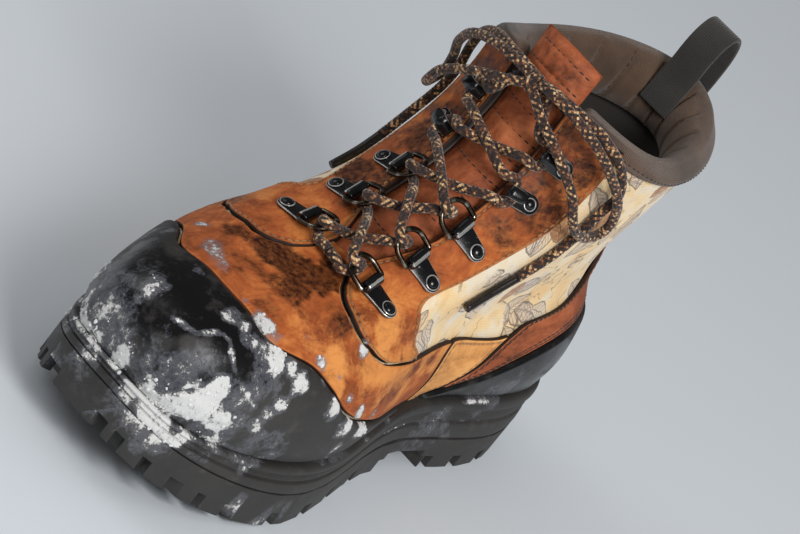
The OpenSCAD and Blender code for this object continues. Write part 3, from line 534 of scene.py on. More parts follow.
marks = {
    "leather": {
        # On the leather, the broad wet marks from level 5.3 up darken the tops of the facings: painted shade
        # with some wetness; the lower marks are wet stains
        "wet": onUpper([
            (3.53, -6.5, 10, 1.3), (3.62, 0.5, 11, 1.4), (3.83, 6, 8, 1.4), (3.74, 12, 4.5, 1.2),
            (3.43, -17.5, 5, 1), (3.4, 6, 9, 0.8), (3.2, -6, 8, 0.5), (3.25, -27, 7, 0.6),
            (3.0, 12, 6, 0.4), (4.42, -37.5, 10, 0.8), (4.65, -25, 9, 0.7), (5.3, -35, 16, 0.6),
            (4.9, 38, 8, 0.6), (5.4, 42, 15, 0.55), (6.2, 36, 18, 0.55), (6.2, -35, 18, 0.55),
            (4.35, -20, 6, 0.6), (2.6, -62, 9, 0.4)]),
        "pale": onUpper([
            (3.18, 54.5, 8, 1), (3.4, 54, 6, 0.6), (2.45, 61.5, 10, 0.8), (3.33, 39.5, 6, 0.5),
            (2.2, 69, 11, 0.9), (2.4, 50, 9, 1.0), (3.5, 40, 6, 0.3), (2.0, 80, 12, 0.6),
            (3.05, 25, 7, 0.25), (2.9, 35, 8, 0.5), (2.8, -60, 10, 0.5), (2.4, -82, 12, 0.5),
            (3.6, 48, 6, 0.3), (1.9, 88, 10, 1), (1.75, 96, 8, 1), (1.4, 85, 9, 0.8), (2.3, 76, 8, 0.8)]),
        "frost": onUpper([
            (2.78, 14, 3.2, 0.8), (2.72, 20, 3.6, 0.95), (2.66, 24, 3.2, 0.8), (2.85, 5, 2, 0.5),
            (2.88, 51.5, 3, 1), (2.52, 44, 2.6, 0.9), (2.3, 52, 2.4, 0.7), (1.85, 60, 2.6, 0.9),
            (1.5, 67, 3, 0.9), (1.25, 74, 3, 0.8), (2.95, -20, 5, 0.45), (2.95, -11, 4, 0.45),
            (3.1, 30, 1.6, 0.6), (3.2, 18, 1.4, 0.6), (2.9, 31, 1.8, 0.7), (2.7, -40, 3, 0.6),
            (1.4, -70, 3, 0.6)]),
    },
    "rubber": {
        "wet": onUpper([
            (2.2, 0, 23, 1), (1.9, 20, 14, 1), (1.9, -20, 16, 0.9), (1.0, 8, 11, 0.9), (0.8, -25, 12, 0.7),
            (0.2, 4, 6, 0.9), (2.3, 28, 6, 0.6), (0.6, -55, 12, 0.5), (1.2, 160, 14, 0.6),
            (0.9, 128, 30, 1.1), (0.8, -140, 24, 0.8), (0.9, 108, 14, 1)]),
        "frost": onUpper([
            (0.5, -22, 13, 0.42), (0.5, -4, 14, 0.46), (0.6, 12, 14, 0.5), (1.0, 30, 13, 0.44),
            (0.4, 30, 10, 0.5), (0.4, 45, 10, 0.4), (1.3, -14, 12, 0.30), (1.4, 15, 9, 0.28),
            (2.0, 33, 9, 0.4), (2.35, 20, 4, 0.6), (2.5, 8, 4, 0.45), (2.55, -6, 4, 0.4), (2.3, 26, 4, 0.6),
            (0.9, 21, 7.5, 1.25), (1.33, 23.5, 5, 1.2), (0.8, 30.5, 5.5, 1.1), (0.25, 32, 4, 0.9),
            (0.6, 16.5, 6, 0.85), (0.3, 9, 8, 0.85), (0.3, 13, 6, 0.9), (1.15, 40, 4, 0.75),
            (1.38, 41.3, 4, 0.75), (1.6, 42.5, 4, 0.75), (2.08, 42.5, 4.5, 0.85), (0.65, -17, 8, 0.55),
            (0.7, -8.5, 8, 0.6), (0.88, -0.5, 6, 0.5), (0.1, -4, 6, 0.7), (0.35, 0, 3.5, 1.1),
            (1.78, -4, 5, 0.6), (1.95, -7, 3.5, 0.5), (1.4, 9.5, 6, 0.32), (1.5, 14.5, 5, 0.34),
            (2.25, 32, 5, 0.8), (2.25, 37, 4, 0.8), (2.45, 15, 3, 0.7), (2.45, 41.5, 3.5, 1),
            (2.2, 48, 3, 0.8), (1.75, 56, 5, 0.85), (1.3, 64, 5.5, 1), (1.07, 70.5, 5, 0.95),
            (0.7, 66, 4, 0.95), (0.15, 66.5, 3, 0.95), (2.4, 8, 2.5, 0.6), (2.62, 1, 2, 0.5),
            (0.4, -13.5, 6, 0.8), (0.38, -5.5, 5, 0.8), (1.2, -30, 6, 0.6), (0.8, -47, 5, 0.6),
            (0.3, -58, 4, 0.7), (0.25, -78, 5, 0.6), (2.3, -36, 4, 0.6), (1.1, -42, 16, 0.42),
            (0.6, -68, 14, 0.40), (0.4, 165, 12, 0.42), (0.5, -150, 14, 0.40), (0.3, 125, 9, 0.4)]
            + thinLine) + onSole([
            (-12, 24, 6, 0.7), (-4, 22, 6, 0.8), (0, 27, 5, 1), (4, 20, 6, 0.85), (9, 22, 7, 0.95),
            (13, 18, 6, 0.95), (17, 22, 6, 0.9), (21, 16, 5, 0.85), (26, 20, 4, 1), (24, 26, 4, 0.9),
            (31, 24, 3, 0.9), (52, 5, 3, 0.9), (60, 4, 3.5, 0.8), (66, 7, 3, 0.9), (71, 9, 2.4, 0.9),
            (-34, 20, 10, 0.5), (-62, 14, 12, 0.42), (-95, 20, 14, 0.40), (110, 16, 12, 0.40),
            (160, 16, 14, 0.42), (-140, 12, 14, 0.42), (-14, 8, 5, 0.7), (2, 8, 4, 0.6)]),
    },
}


ragged = {"size": 7.0, "depth": 2.2, "reach": 1.45, "border": 0.8}      # the last three in radii of a blob


# How far points are inside the blobs, with ragged borders
def blobMask(points, blobs, seed=0):
    rough = ragged["depth"] * (roughNoise(points, ragged["size"], seed) - 0.5)
    mask = np.zeros(points.shape[:-1])
    for centre, radius, strength in blobs:
        d = np.linalg.norm(points - centre, axis=-1) / radius + rough
        mask = np.maximum(mask, strength * clamp((ragged["reach"] - d) / ragged["border"]))
    return mask


# panels cut from sheet stock

stitchLines = {}            # by thread: the lines that stitches are set along
frosted = []                # grids of points, each with its share of frost
farFromEdge = 5.0           # for pieces whose edges need no darkening
panelForm = {               # of every panel; a panel's own values go before these
    "thick": last["leather"], "low": last["facingSeat"], "kind": "leather", "look": "tan",
    "slot": "tan_leather", "radius": 1.1, "rim": 2.2, "rimShare": 0.3,
    "uneven": 0.3, "unevenSize": 13.0, "crust": 0, "crustSizes": (2.6, 5.5),
    "stitched": (), "thread": "tanThread", "threadWidth": 0.6, "threadDepth": 0.22,
    "creases": (), "creaseWidth": 0.028, "creaseWave": 0.05,
}


# Shares from 0 to 1 with narrow steps at both ends, where the edge is rounded
def edgedShares(count, edge):
    rim = np.array([0, 0.1, 0.35, 0.65, 1.0]) * edge
    middle = np.linspace(rim[-1], 1 - rim[-1], count)
    return np.concatenate([rim[:-1], middle, 1 - rim[-2::-1]])


# Lines that keep an inset from the border of a grid: two along its length, two along its height
def insetLines(points, du, dv, inset):
    lines = []
    for grid, reach, other in ((points, du, dv), (points.transpose(1, 0, 2), dv.T, du.T)):
        clear = np.minimum(other[0], other[0, -1] - other[0]) >= inset
        columns = np.flatnonzero(clear & (reach[-1] >= 2.5 * inset))
        for near in (True, False):
            line = []
            for j in columns:
                way = inset if near else reach[-1, j] - inset
                line.append([np.interp(way, reach[:, j], grid[:, j, k]) for k in range(3)])
            if len(line) > 3:
                lines.append(np.array(line))
    return lines


# One panel: place(u, v) gives the level and angle of each of its points
def panel(name, place, form):
    low, radius = form["low"], form["radius"]
    even = np.linspace(0, 1, 40)
    coarse = off(*place(*np.meshgrid(even, even, indexing="ij")), low)
    spans = distances(coarse, 0)[-1], distances(coarse, 1)[:, -1]
    shares = [edgedShares(n, min(0.2, radius / np.median(span))) for n, span in zip(form["grid"], spans)]
    s, a = place(*np.meshgrid(*shares, indexing="ij"))
    base = off(s, a, low)
    du, dv = distances(base, 0), distances(base, 1)
    edge = np.minimum(np.minimum(du, du[-1] - du), np.minimum(dv, dv[:, -1:] - dv))
    crown = np.sqrt(clamp(1 - (1 - clamp(edge / radius)) ** 2))
    height = form["thick"] * mix(form["rimShare"], 1, crown)
    masks = {mark: blobMask(base, blobs, k) for k, (mark, blobs) in enumerate(marks[form["kind"]].items())}
    seams = [np.exp(-((edge - inset) / form["threadWidth"]) ** 2) for inset in form["stitched"]]
    masks["seam"] = sum(seams) + 0 * edge
    height = height - form["threadDepth"] * masks["seam"] * clamp(edge)
    height = height + form["uneven"] * (roughNoise(base, form["unevenSize"], 5) - 0.5) * clamp(edge / 2)
    crust = form["crust"] * clamp((masks["frost"] - 0.55) / 0.35)
    small, large = form["crustSizes"]
    height = height + crust * (0.3 + noiseAt(base, small, 9)) * noiseAt(base, large, 3) * 1.6
    for level, middle, reach, depth in form["creases"]:
        q = 180 - a
        wave = form["creaseWave"]
        line = s - level - wave * np.sin((q + 40 * level) / 7.0) - wave * (noiseAt(base, 16.0, 4) - 0.5)
        across = np.exp(-(line / form["creaseWidth"]) ** 2)
        height = height - depth * across * np.exp(-((q - middle) / reach) ** 4)
    outer = off(s, a, low + height)
    piece = closedSheet(name, outer, base)
    masks["edge"] = edge * form["rim"]
    for mark, values in masks.items():
        setValues(piece, mark, np.concatenate([values.ravel(), np.zeros(edge.size)]))
    mapSheet(piece, du, dv)
    for inset in form["stitched"]:
        stitchLines.setdefault(form["thread"], []).extend(insetLines(outer, du, dv, inset))
    if form["crust"]:
        frosted.append((outer, masks["frost"]))
    return piece


# materials

# Sets a socket: links another socket to it, or writes a constant
def give(socket, value):
    if isinstance(value, bpy.types.NodeSocket):
        socket.id_data.links.new(value, socket)
    elif socket.type == "RGBA":
        socket.default_value = (*value, 1)
    else:
        socket.default_value = value


def addNode(tree, kind, inputs={}, **settings):
    made = tree.nodes.new(kind)
    for key, value in settings.items():
        setattr(made, key, value)
    for key, value in inputs.items():
        give(made.inputs[key], value)
    return made


def treeOf(*values):
    return next(value.id_data for value in values if isinstance(value, bpy.types.NodeSocket))


def maths(operation, *values):
    inputs = {1: 0.0, 2: 0.0, **dict(enumerate(values))}
    return addNode(treeOf(*values), "ShaderNodeMath", inputs, operation=operation).outputs[0]


def times(a, b):
    return maths("MULTIPLY", a, b)


def plus(a, b):
    return maths("ADD", a, b)


def larger(a, b):
    return maths("MAXIMUM", a, b)


def spread(value, low, high, toLow=0.0, toHigh=1.0):
    return addNode(value.id_data, "ShaderNodeMapRange", {
        "Value": value, "From Min": low, "From Max": high, "To Min": toLow, "To Max": toHigh}).outputs[0]


def blend(factor, a, b):
    tree = treeOf(factor, a, b)
    return addNode(tree, "ShaderNodeMix", {0: factor, 6: a, 7: b}, data_type="RGBA").outputs[2]


def vectors(operation, inputs):
    return addNode(treeOf(*inputs.values()), "ShaderNodeVectorMath", inputs, operation=operation).outputs[0]


def ramp(factor, *stops):
    made = addNode(factor.id_data, "ShaderNodeValToRGB", {"Fac": factor})
    elements = made.color_ramp.elements
    while len(elements) < len(stops):
        elements.new(0.5)
    for element, (place, colour) in zip(elements, stops):
        element.position = place
        element.color = (*colour, 1)
    return made.outputs["Color"]


def noise(coords, scale, detail=4, roughness=0.55, distortion=0, stretch=None):
    tree = coords.id_data
    if stretch:
        coords = addNode(tree, "ShaderNodeMapping", {"Vector": coords, "Scale": stretch}).outputs[0]
    return addNode(tree, "ShaderNodeTexNoise", {
        "Vector": coords, "Scale": scale, "Detail": detail, "Roughness": roughness,
        "Distortion": distortion}).outputs["Fac"]


# Crossed bands of warp and weft, on a piece's own map
def weaveOf(uv, pitch):
    return times(*[addNode(uv.id_data, "ShaderNodeTexWave", {"Vector": uv, "Scale": pitch},
                           bands_direction=way).outputs["Fac"] for way in ("X", "Y")])


def attribute(coords, name):
    return addNode(coords.id_data, "ShaderNodeAttribute", attribute_name=name).outputs["Fac"]


def newMaterial(name):
    material = bpy.data.materials.new(name)
    material.use_nodes = True
    tree = material.node_tree
    coords = addNode(tree, "ShaderNodeTexCoord").outputs["Object"]
    return material, tree.nodes["Principled BSDF"], coords


# A piece's own map
def uvOf(coords):
    return coords.node.outputs["UV"]


# Colour, roughness and the like go to the shader, and heights pile up in its normal
def finishLook(shader, inputs, *heights):
    below = {}
    for height, strength, distance in heights:
        bump = {"Height": height, "Strength": strength, "Distance": distance, **below}
        below = {"Normal": addNode(shader.id_data, "ShaderNodeBump", bump).outputs[0]}
    for key, value in {**inputs, **below}.items():
        give(shader.inputs[key], value)


def shade(colour, share):
    return [min(1, share * c) for c in colour]


leatherLooks = {
    "tanLeather": {
        "deep": (0.028, 0.004, 0.001), "main": (0.37, 0.082, 0.016), "light": (0.58, 0.185, 0.040),
        "pale": (0.76, 0.31, 0.078),
    },
    "foxingLeather": {
        "deep": (0.20, 0.060, 0.012), "main": (0.74, 0.33, 0.095), "light": (0.84, 0.45, 0.16),
        "pale": (0.84, 0.45, 0.15),
    },
    "brownLeather": {
        "deep": (0.035, 0.008, 0.002), "main": (0.33, 0.080, 0.026), "light": (0.50, 0.15, 0.055),
        "pale": (0.42, 0.14, 0.05),
    },
}
# Colour at the panels' borders: dark cut edges, and painted shade in the gaps between panels
leatherEdge = (0.022, 0.010, 0.006)
rubberLook = {
    "dry": (0.040, 0.0365, 0.034), "wet": (0.004, 0.0038, 0.0045), "dust": (0.12, 0.11, 0.10),
    # edge: dark rubber edges, and painted shade in the gaps next to the caps
    "edge": (0.008, 0.008, 0.008),
}
frostTones = {"veil": (0.17, 0.175, 0.205), "thin": (0.40, 0.385, 0.37), "thick": (0.61, 0.605, 0.59)}


# Frost over a colour: gives the new colour and how thickly it lies
def underFrost(coords, colour):
    broken = noise(coords, 150, 9, 0.78, 0.4)
    grains = noise(coords, 700, 6, 0.75)
    mask = attribute(coords, "frost")
    level = plus(mask, spread(broken, 0.25, 0.75, -0.55, 0.55))
    level = plus(level, spread(grains, 0.3, 0.7, -0.22, 0.22))
    level = times(level, spread(mask, 0.0, 0.22))
    thick = spread(level, 0.50, 0.66)
    tone = blend(spread(level, 0.55, 0.85), frostTones["thin"], frostTones["thick"])
    colour = blend(spread(level, 0.12, 0.55, 0.0, 0.6), colour, frostTones["veil"])
    return blend(thick, colour, tone), thick


# Wet places shine and frosted ones are dull
def roughnessOf(large, low, high, wet, shine, frost, dull):
    clean = maths("SUBTRACT", spread(large, 0.3, 0.7, low, high), times(wet, shine))
    return larger(clean, times(frost, dull))


def makeLeather(name):
    look = leatherLooks[name]
    material, shader, coords = newMaterial(name)
    large = noise(coords, 24, 5, 0.6)
    brushed = noise(coords, 75, 7, 0.72, 0.8, (1.0, 0.35, 1.0))
    streaks = noise(coords, 130, 7, 0.75, 1.5, (1.0, 0.22, 1.0))
    fine = noise(coords, 420, 5, 0.65)
    tone = plus(times(large, 0.45), times(brushed, 0.55))
    shaded = mix(np.array(look["deep"]), np.array(look["main"]), 0.62).tolist()
    colour = ramp(tone, (0.36, look["deep"]), (0.44, shaded), (0.51, look["main"]), (0.60, look["light"]))
    rubbed = plus(spread(brushed, 0.3, 0.7, -0.38, 0.38), spread(fine, 0.3, 0.7, -0.25, 0.25))
    pale = spread(plus(attribute(coords, "pale"), rubbed), 0.15, 1.1, 0.0, 0.9)
    colour = blend(pale, colour, look["pale"])
    # Darker where the wet marks lie: wet stains, and painted shade over the tops of the facings
    wet = times(attribute(coords, "wet"), spread(streaks, 0.35, 0.65, 0.5, 1.6))
    wet = spread(wet, 0.15, 0.7, 0.0, 0.97)
    colour = blend(wet, colour, look["deep"])
    colour = blend(spread(fine, 0.4, 0.7, 0.0, 0.3), colour, look["light"])
    colour = blend(spread(streaks, 0.60, 0.70, 0.0, 0.5), colour, look["deep"])
    edge = attribute(coords, "edge")
    # A lighter band just inside each panel's edge, broken up by noise: painted highlight along the edge's
    # roll, and rubbed wear
    rim = times(spread(edge, 1.2, 1.9), spread(edge, 3.2, 2.1))
    rim = times(rim, spread(noise(coords, 190, 5, 0.7), 0.42, 0.58, 0.0, 0.7))
    colour = blend(rim, colour, look["light"])
    # Darker along the sunk stitch lines: painted shade in the groove
    colour = blend(times(attribute(coords, "seam"), 0.55), colour, look["deep"])
    # Dark band along each panel's border: dark cut edge, and painted shade in the gap to the next panel
    colour = blend(spread(edge, 1.45, 0.7), colour, leatherEdge)
    colour, frost = underFrost(coords, colour)
    roughness = roughnessOf(large, 0.58, 0.80, wet, 0.22, frost, 0.8)
    pores = addNode(coords.id_data, "ShaderNodeTexVoronoi", {"Vector": coords, "Scale": 1500.0}).outputs
    grain = noise(coords, 900, 6, 0.7)
    finishLook(shader, {"Base Color": colour, "Roughness": roughness, "Specular IOR Level": 0.3},
               (pores["Distance"], 0.25, 0.0001), (grain, 0.5, 0.0002), (streaks, 0.35, 0.0005),
               (frost, 0.6, 0.0005))
    return material


def makeRubber():
    look = rubberLook
    material, shader, coords = newMaterial("blackRubber")
    large = noise(coords, 34, 5, 0.6)
    fine = noise(coords, 700, 6, 0.7)
    dust = noise(coords, 120, 8, 0.72)
    smears = noise(coords, 55, 7, 0.7, 1.0)
    dry = ramp(large, (0.3, shade(look["dry"], 0.55)), (0.65, look["dry"]))
    wet = spread(times(attribute(coords, "wet"), spread(smears, 0.3, 0.7, 0.55, 1.5)), 0.25, 0.75)
    colour = blend(wet, dry, look["wet"])
    colour = blend(spread(dust, 0.54, 0.72, 0.0, 0.30), colour, look["dust"])
    # Darker along the caps' borders: dark edges, and painted shade in the gaps beside them
    colour = blend(spread(attribute(coords, "edge"), 1.0, 0.4, 0.0, 0.6), colour, look["edge"])
    colour, frost = underFrost(coords, colour)
    roughness = roughnessOf(large, 0.50, 0.68, wet, 0.27, frost, 0.85)
    finishLook(shader, {"Base Color": colour, "Roughness": roughness, "Specular IOR Level": 0.5},
               (fine, 0.35, 0.0002), (dust, 0.25, 0.0004), (frost, 0.8, 0.0007))
    return material


# Leaves scattered over a flat map: where they are, their outlines, and their veins
def leafLayer(flat, size, share, shift):
    tree = flat.id_data
    grid = addNode(tree, "ShaderNodeMapping", {
        "Vector": flat, "Scale": (1 / size, 1 / size, 1), "Location": (shift, 0.7 * shift, 0)}).outputs[0]
    cell = addNode(tree, "ShaderNodeTexVoronoi", {"Vector": grid, "Scale": 1.0, "Randomness": 0.9},
                   voronoi_dimensions="2D").outputs
    away = vectors("SUBTRACT", {0: grid, 1: cell["Position"]})
    lot = addNode(tree, "ShaderNodeSeparateColor", {"Color": cell["Color"]}).outputs
    turned = addNode(tree, "ShaderNodeVectorRotate", {"Vector": away, "Angle": times(lot["Red"], 6.2832)},
                     rotation_type="Z_AXIS").outputs[0]
    local = addNode(tree, "ShaderNodeSeparateXYZ", {"Vector": turned}).outputs
    x, y = local["X"], maths("ABSOLUTE", local["Y"])
    depth = maths("SUBTRACT", maths("MULTIPLY_ADD", times(x, x), -1.15, 0.21), y)
    chosen = maths("LESS_THAN", lot["Green"], share)
    inside = times(spread(depth, 0.0, 0.02), chosen)
    outline = times(spread(maths("ABSOLUTE", depth), 0.008, 0.03, 1.0, 0.0), chosen)
    ribs = maths("SINE", times(plus(x, y), 58.0))
    veins = larger(spread(ribs, 0.55, 0.95, 0.0, 0.8), spread(y, 0.006, 0.02, 1.0, 0.0))
    return inside, outline, times(veins, inside)


camoLook = {
    "ground": ((0.90, 0.78, 0.60), (0.95, 0.69, 0.36), (0.95, 0.61, 0.26)),
    "greyLeaf": (0.66, 0.52, 0.42), "greyLine": (0.15, 0.11, 0.09), "greyShare": 0.85,
    "brownLeaf": ((0.36, 0.13, 0.045), (0.66, 0.34, 0.14)), "brownLine": (0.16, 0.065, 0.025),
    "brownShare": 0.22,
    # thread: colour put between the weave's threads, a painted shade in the weave
    "twig": (0.17, 0.12, 0.075), "thread": (0.10, 0.085, 0.06), "soil": (0.30, 0.18, 0.09),
    "inside": (0.020, 0.016, 0.013), "leafSize": 0.021, "greyLayers": ((1.15, 3.0), (0.9, 5.7)),
}


def makeCamo():
    look = camoLook
    material, shader, coords = newMaterial("printedTextile")
    tree, uv = coords.id_data, uvOf(coords)
    warp = addNode(tree, "ShaderNodeTexNoise", {"Vector": coords, "Scale": 70.0, "Detail": 3.0}).outputs
    flat = addNode(tree, "ShaderNodeMix", {0: 0.008, 4: uv, 5: warp["Color"]}, data_type="VECTOR").outputs[1]
    colour = ramp(noise(flat, 60, 4, 0.6), *zip((0.38, 0.52, 0.66), look["ground"]))
    size = look["leafSize"]
    groups = spread(noise(flat, 34, 1, 0.4), 0.37, 0.41)
    for scale, shift in look["greyLayers"]:
        leaves = leafLayer(flat, size * scale, look["greyShare"], shift)
        inside, outline, veins = (times(part, groups) for part in leaves)
        colour = blend(times(inside, 0.5), colour, look["greyLeaf"])
        colour = blend(times(larger(outline, times(veins, 0.8)), 0.9), colour, look["greyLine"])
    twigs = noise(flat, 38, 3, 0.5, 0.9)
    line = spread(maths("ABSOLUTE", maths("SUBTRACT", twigs, 0.5)), 0.004, 0.011, 0.85, 0.0)
    line = times(line, spread(noise(flat, 60, 2, 0.5), 0.46, 0.52))
    colour = blend(line, colour, look["twig"])
    inside, outline, veins = leafLayer(flat, size, look["brownShare"], 8.3)
    colour = blend(inside, colour, ramp(noise(flat, 240, 4, 0.6), *zip((0.35, 0.6), look["brownLeaf"])))
    colour = blend(times(larger(outline, veins), 0.7), colour, look["brownLine"])
    weave = weaveOf(uv, 420.0)
    # Darker between the threads of the weave: painted shade
    colour = blend(spread(weave, 0.0, 0.5, 0.18, 0.0), colour, look["thread"])
    soil = noise(coords, 90, 6, 0.7)
    colour = blend(spread(soil, 0.52, 0.75, 0.0, 0.35), colour, look["soil"])
    colour = blend(attribute(coords, "print"), look["inside"], colour)
    finishLook(shader, {"Base Color": colour, "Roughness": 0.9, "Sheen Weight": 0.2},
               (weave, 0.6, 0.0002), (soil, 0.2, 0.0003))
    return material


def makeCloth(name, colour, pitch=420.0):
    material, shader, coords = newMaterial(name)
    tone = noise(coords, 40, 5, 0.6)
    base = blend(spread(tone, 0.35, 0.65), shade(colour, 0.6), shade(colour, 1.4))
    weave = weaveOf(uvOf(coords), pitch)
    # Darker between the threads of the weave: painted shade
    base = blend(spread(weave, 0.0, 0.6, 0.5, 0.0), base, shade(colour, 0.3))
    finishLook(shader, {"Base Color": base, "Roughness": 0.85, "Sheen Weight": 0.25},
               (weave, 0.7, 0.00025), (noise(coords, 300, 4), 0.2, 0.0003))
    return material


# Metal painted bright where a value per point is high: edges rubbed bare, and painted highlights on the
# clips' rolled crests and rims, the rivets' rims and the rings' glints
def makeMetal(name, colour, bareAndHighlight, metallic, roughness):
    material, shader, coords = newMaterial(name)
    scratches = noise(coords, 500, 6, 0.75, 0.5, (1.0, 0.25, 1.0))
    patches = noise(coords, 200, 5, 0.7)
    wearAndHighlight = times(attribute(coords, "wearAndHighlight"), spread(patches, 0.35, 0.6, 0.55, 1.25))
    wearAndHighlight = spread(plus(wearAndHighlight, spread(scratches, 0.60, 0.72, 0.0, 0.3)), 0.2, 0.8)
    tone = blend(spread(patches, 0.4, 0.65, 0.0, 0.6), colour, shade(colour, 0.45))
    finishLook(shader, {
        "Base Color": blend(wearAndHighlight, tone, bareAndHighlight),
        "Metallic": spread(wearAndHighlight, 0.0, 1.0, metallic, 1.0 if metallic else 0.8),
        "Roughness": spread(scratches, 0.3, 0.7, roughness * 0.8, roughness * 1.4),
    }, (scratches, 0.15, 0.0001))
    return material


laceLook = {
    # dark: a strand colour, and also the painted shade between the strands
    "dark": (0.008, 0.004, 0.003), "brown": (0.050, 0.014, 0.005), "rust": (0.24, 0.075, 0.022),
    "gold": (0.62, 0.36, 0.14), "light": (0.76, 0.54, 0.32),
}


# Braid read from the cord's own map: u and v count the strands that run round it either way
def makeLaceLook():
    look = laceLook
    material, shader, coords = newMaterial("laceCord")
    tree = coords.id_data
    way = addNode(tree, "ShaderNodeSeparateXYZ", {"Vector": uvOf(coords)}).outputs
    floors = [maths("FLOOR", way[axis]) for axis in ("X", "Y")]
    over = maths("PINGPONG", plus(*floors), 1.0)
    tones, crests = [], []
    for axis, number, lot in zip(("X", "Y"), floors, (17.0, 41.0)):
        strand = plus(maths("FLOORED_MODULO", number, 8.0), lot)
        drawn = addNode(tree, "ShaderNodeTexWhiteNoise", {"W": strand}, noise_dimensions="1D")
        tones.append(drawn.outputs["Value"])
        crests.append(maths("SINE", times(maths("FRACT", way[axis]), math.pi)))
    tone, crest = (addNode(tree, "ShaderNodeMix", {0: over, 2: pair[1], 3: pair[0]}).outputs[0]
                   for pair in (tones, crests))
    tone = plus(times(tone, 0.62), spread(noise(coords, 330, 4, 0.65), 0.3, 0.7, -0.1, 0.48))
    colour = ramp(tone, *zip((0.24, 0.44, 0.58, 0.72, 0.90), look.values()))
    # Darker away from each strand's crest: painted shade in the grooves of the braid
    colour = blend(spread(crest, 0.1, 0.7, 0.85, 0.0), colour, look["dark"])
    finishLook(shader, {"Base Color": colour, "Roughness": 0.7, "Sheen Weight": 0.2},
               (crest, 0.8, 0.0003), (noise(coords, 1800, 3, 0.6), 0.5, 0.0001))
    return material


def makeSnowLook():
    material, shader, coords = newMaterial("driedSnow")
    colour = ramp(noise(coords, 130, 6, 0.7), (0.3, (0.46, 0.46, 0.46)), (0.6, (0.74, 0.74, 0.735)))
    finishLook(shader, {
        "Base Color": colour, "Roughness": 0.65, "Subsurface Weight": 0.15,
        "Subsurface Radius": (0.002, 0.002, 0.002),
    }, (noise(coords, 900, 5, 0.7), 0.7, 0.0004))
    return material


looks = {
    "tan": makeLeather("tanLeather"),
    "foxing": makeLeather("foxingLeather"),
    "brown": makeLeather("brownLeather"),
    "rubber": makeRubber(),
    "camo": makeCamo(),
    "padding": makeCloth("collarPadding", (0.10, 0.055, 0.030)),
    "lining": makeCloth("footbedFabric", (0.05, 0.045, 0.04)),
    "webbing": makeCloth("pullWebbing", (0.030, 0.026, 0.022), 330.0),
    "black": makeMetal("blackMetal", (0.006, 0.006, 0.007), (0.75, 0.74, 0.70), 0.0, 0.20),
    "wire": makeMetal("ringWire", (0.085, 0.065, 0.048), (0.62, 0.56, 0.48), 1.0, 0.24),
    "lace": makeLaceLook(),
    "snow": makeSnowLook(),
    "plastic": makeMetal("agletPlastic", (0.020, 0.015, 0.012), (0.05, 0.04, 0.03), 0.0, 0.25),
    "tanThread": makeCloth("tanThread", (0.46, 0.24, 0.09), 2000.0),
    "darkThread": makeCloth("darkThread", (0.045, 0.020, 0.010), 2000.0),
}
print("stage: materials")


# upper: edges of the pieces as level against angle from the front

capEdge = [[0, 2.75], [10, 2.72], [25, 2.5], [42, 2.38], [54, 1.98], [62, 1.55], [75, 1.02], [86, 0.55],
           [96, 0.16]]
throatEdge = [[4.1, 7], [4.24, 10], [4.4, 15], [4.6, 18.5], [7, 18.5]]
facingEdges = {
    medial: [[2.25, 78], [2.5, 66], [2.7, 60], [2.88, 55], [3.1, 47], [3.3, 39], [3.48, 31], [3.67, 20.5],
             [3.8, 14], [3.93, 9.5]] + throatEdge,
    lateral: [[2.25, 78], [2.5, 66], [2.7, 57], [2.88, 52], [3.1, 42], [3.3, 33], [3.42, 25], [3.56, 18],
              [3.72, 12], [3.9, 8.5]] + throatEdge,
}
facingRear = [[2.25, 80.5], [2.7, 75], [3.15, 67], [3.5, 58], [3.75, 50.5], [3.97, 47], [4.3, 50], [5.2, 54],
              [7, 53]]
heelCapEdge = [[0, 2.1], [20, 2.05], [36, 1.9], [48, 1.66], [58, 1.25], [68, 0.62], [78, 0.14]]
capReach, vampReach, heelCapReach = 95, 98.5, 76
counterWidth = [[0, 74], [0.45, 72], [1.2, 66.5], [1.9, 62.5], [2.3, 59], [2.7, 46], [3.3, 33], [4.1, 20],
                [4.7, 11]]
counterTop, counterReach = 4.7, 72
foxingTop = [[vampReach + 0.5, 1.96], [108, 1.83], [114, 1.82], [118, 1.95]]
foxingEnd, foxingGap = 116, 0.8
seam = last["seam"]


# Upper edge of the vamp: it follows the lower part of the facings' front edges
def vampTop(q):
    tops = []
    for side in (medial, lateral):
        lobe = [[angle, s] for s, angle in facingEdges[side][10:0:-1]]
        tops.append(chain([[0, 4.12]] + lobe + [[79, 2.22], [101, 1.96]], np.abs(q)) - seam)
    return np.where(q > 0, *tops)


def capTop(q):
    return curve(capEdge, np.abs(q))


def heelCapTop(a):
    return curve(heelCapEdge, np.abs(a))


def toeCapPlace(u, v):
    q = capReach * fold(2 * u - 1, 1.2)
    return mix(0, capTop(q), v), front(q)


def vampPlace(u, v):
    q = vampReach * fold(2 * u - 1, 1.15)
    return mix(capTop(q) + seam, vampTop(q), v), front(q)


def facingPlace(side):
    def place(u, v):
        s = mix(2.25, 6.95, v)
        w = u if side > 0 else 1 - u
        return s, front(side * mix(chain(facingEdges[side], s), curve(facingRear, s), w))
    return place


def foxingPlace(side):
    start = vampReach + 1

    def place(u, v):
        w = u if side > 0 else 1 - u
        a = 180 - mix(start, 180 - counterReach + 1, w)
        low = np.where(a < heelCapReach + 1, heelCapTop(a) + seam, 0)
        s = mix(low, curve(foxingTop, mix(start, foxingEnd, w)), v)
        return s, front(side * mix(start, 180 - curve(counterWidth, s) - foxingGap, w))
    return place


def counterPlace(u, v):
    a = mix(-counterReach, counterReach, u)
    low = heelCapTop(a) + seam
    s = mix(low, counterTop, v)
    return s, a * curve(counterWidth, s) / curve(counterWidth, low)


def backstayPlace(u, v):
    return mix(counterTop + seam, 6.65, v), mix(-9, 9, u)


def heelCapPlace(u, v):
    a = heelCapReach * fold(2 * u - 1, 1.3)
    return mix(0, heelCapTop(a), v), a


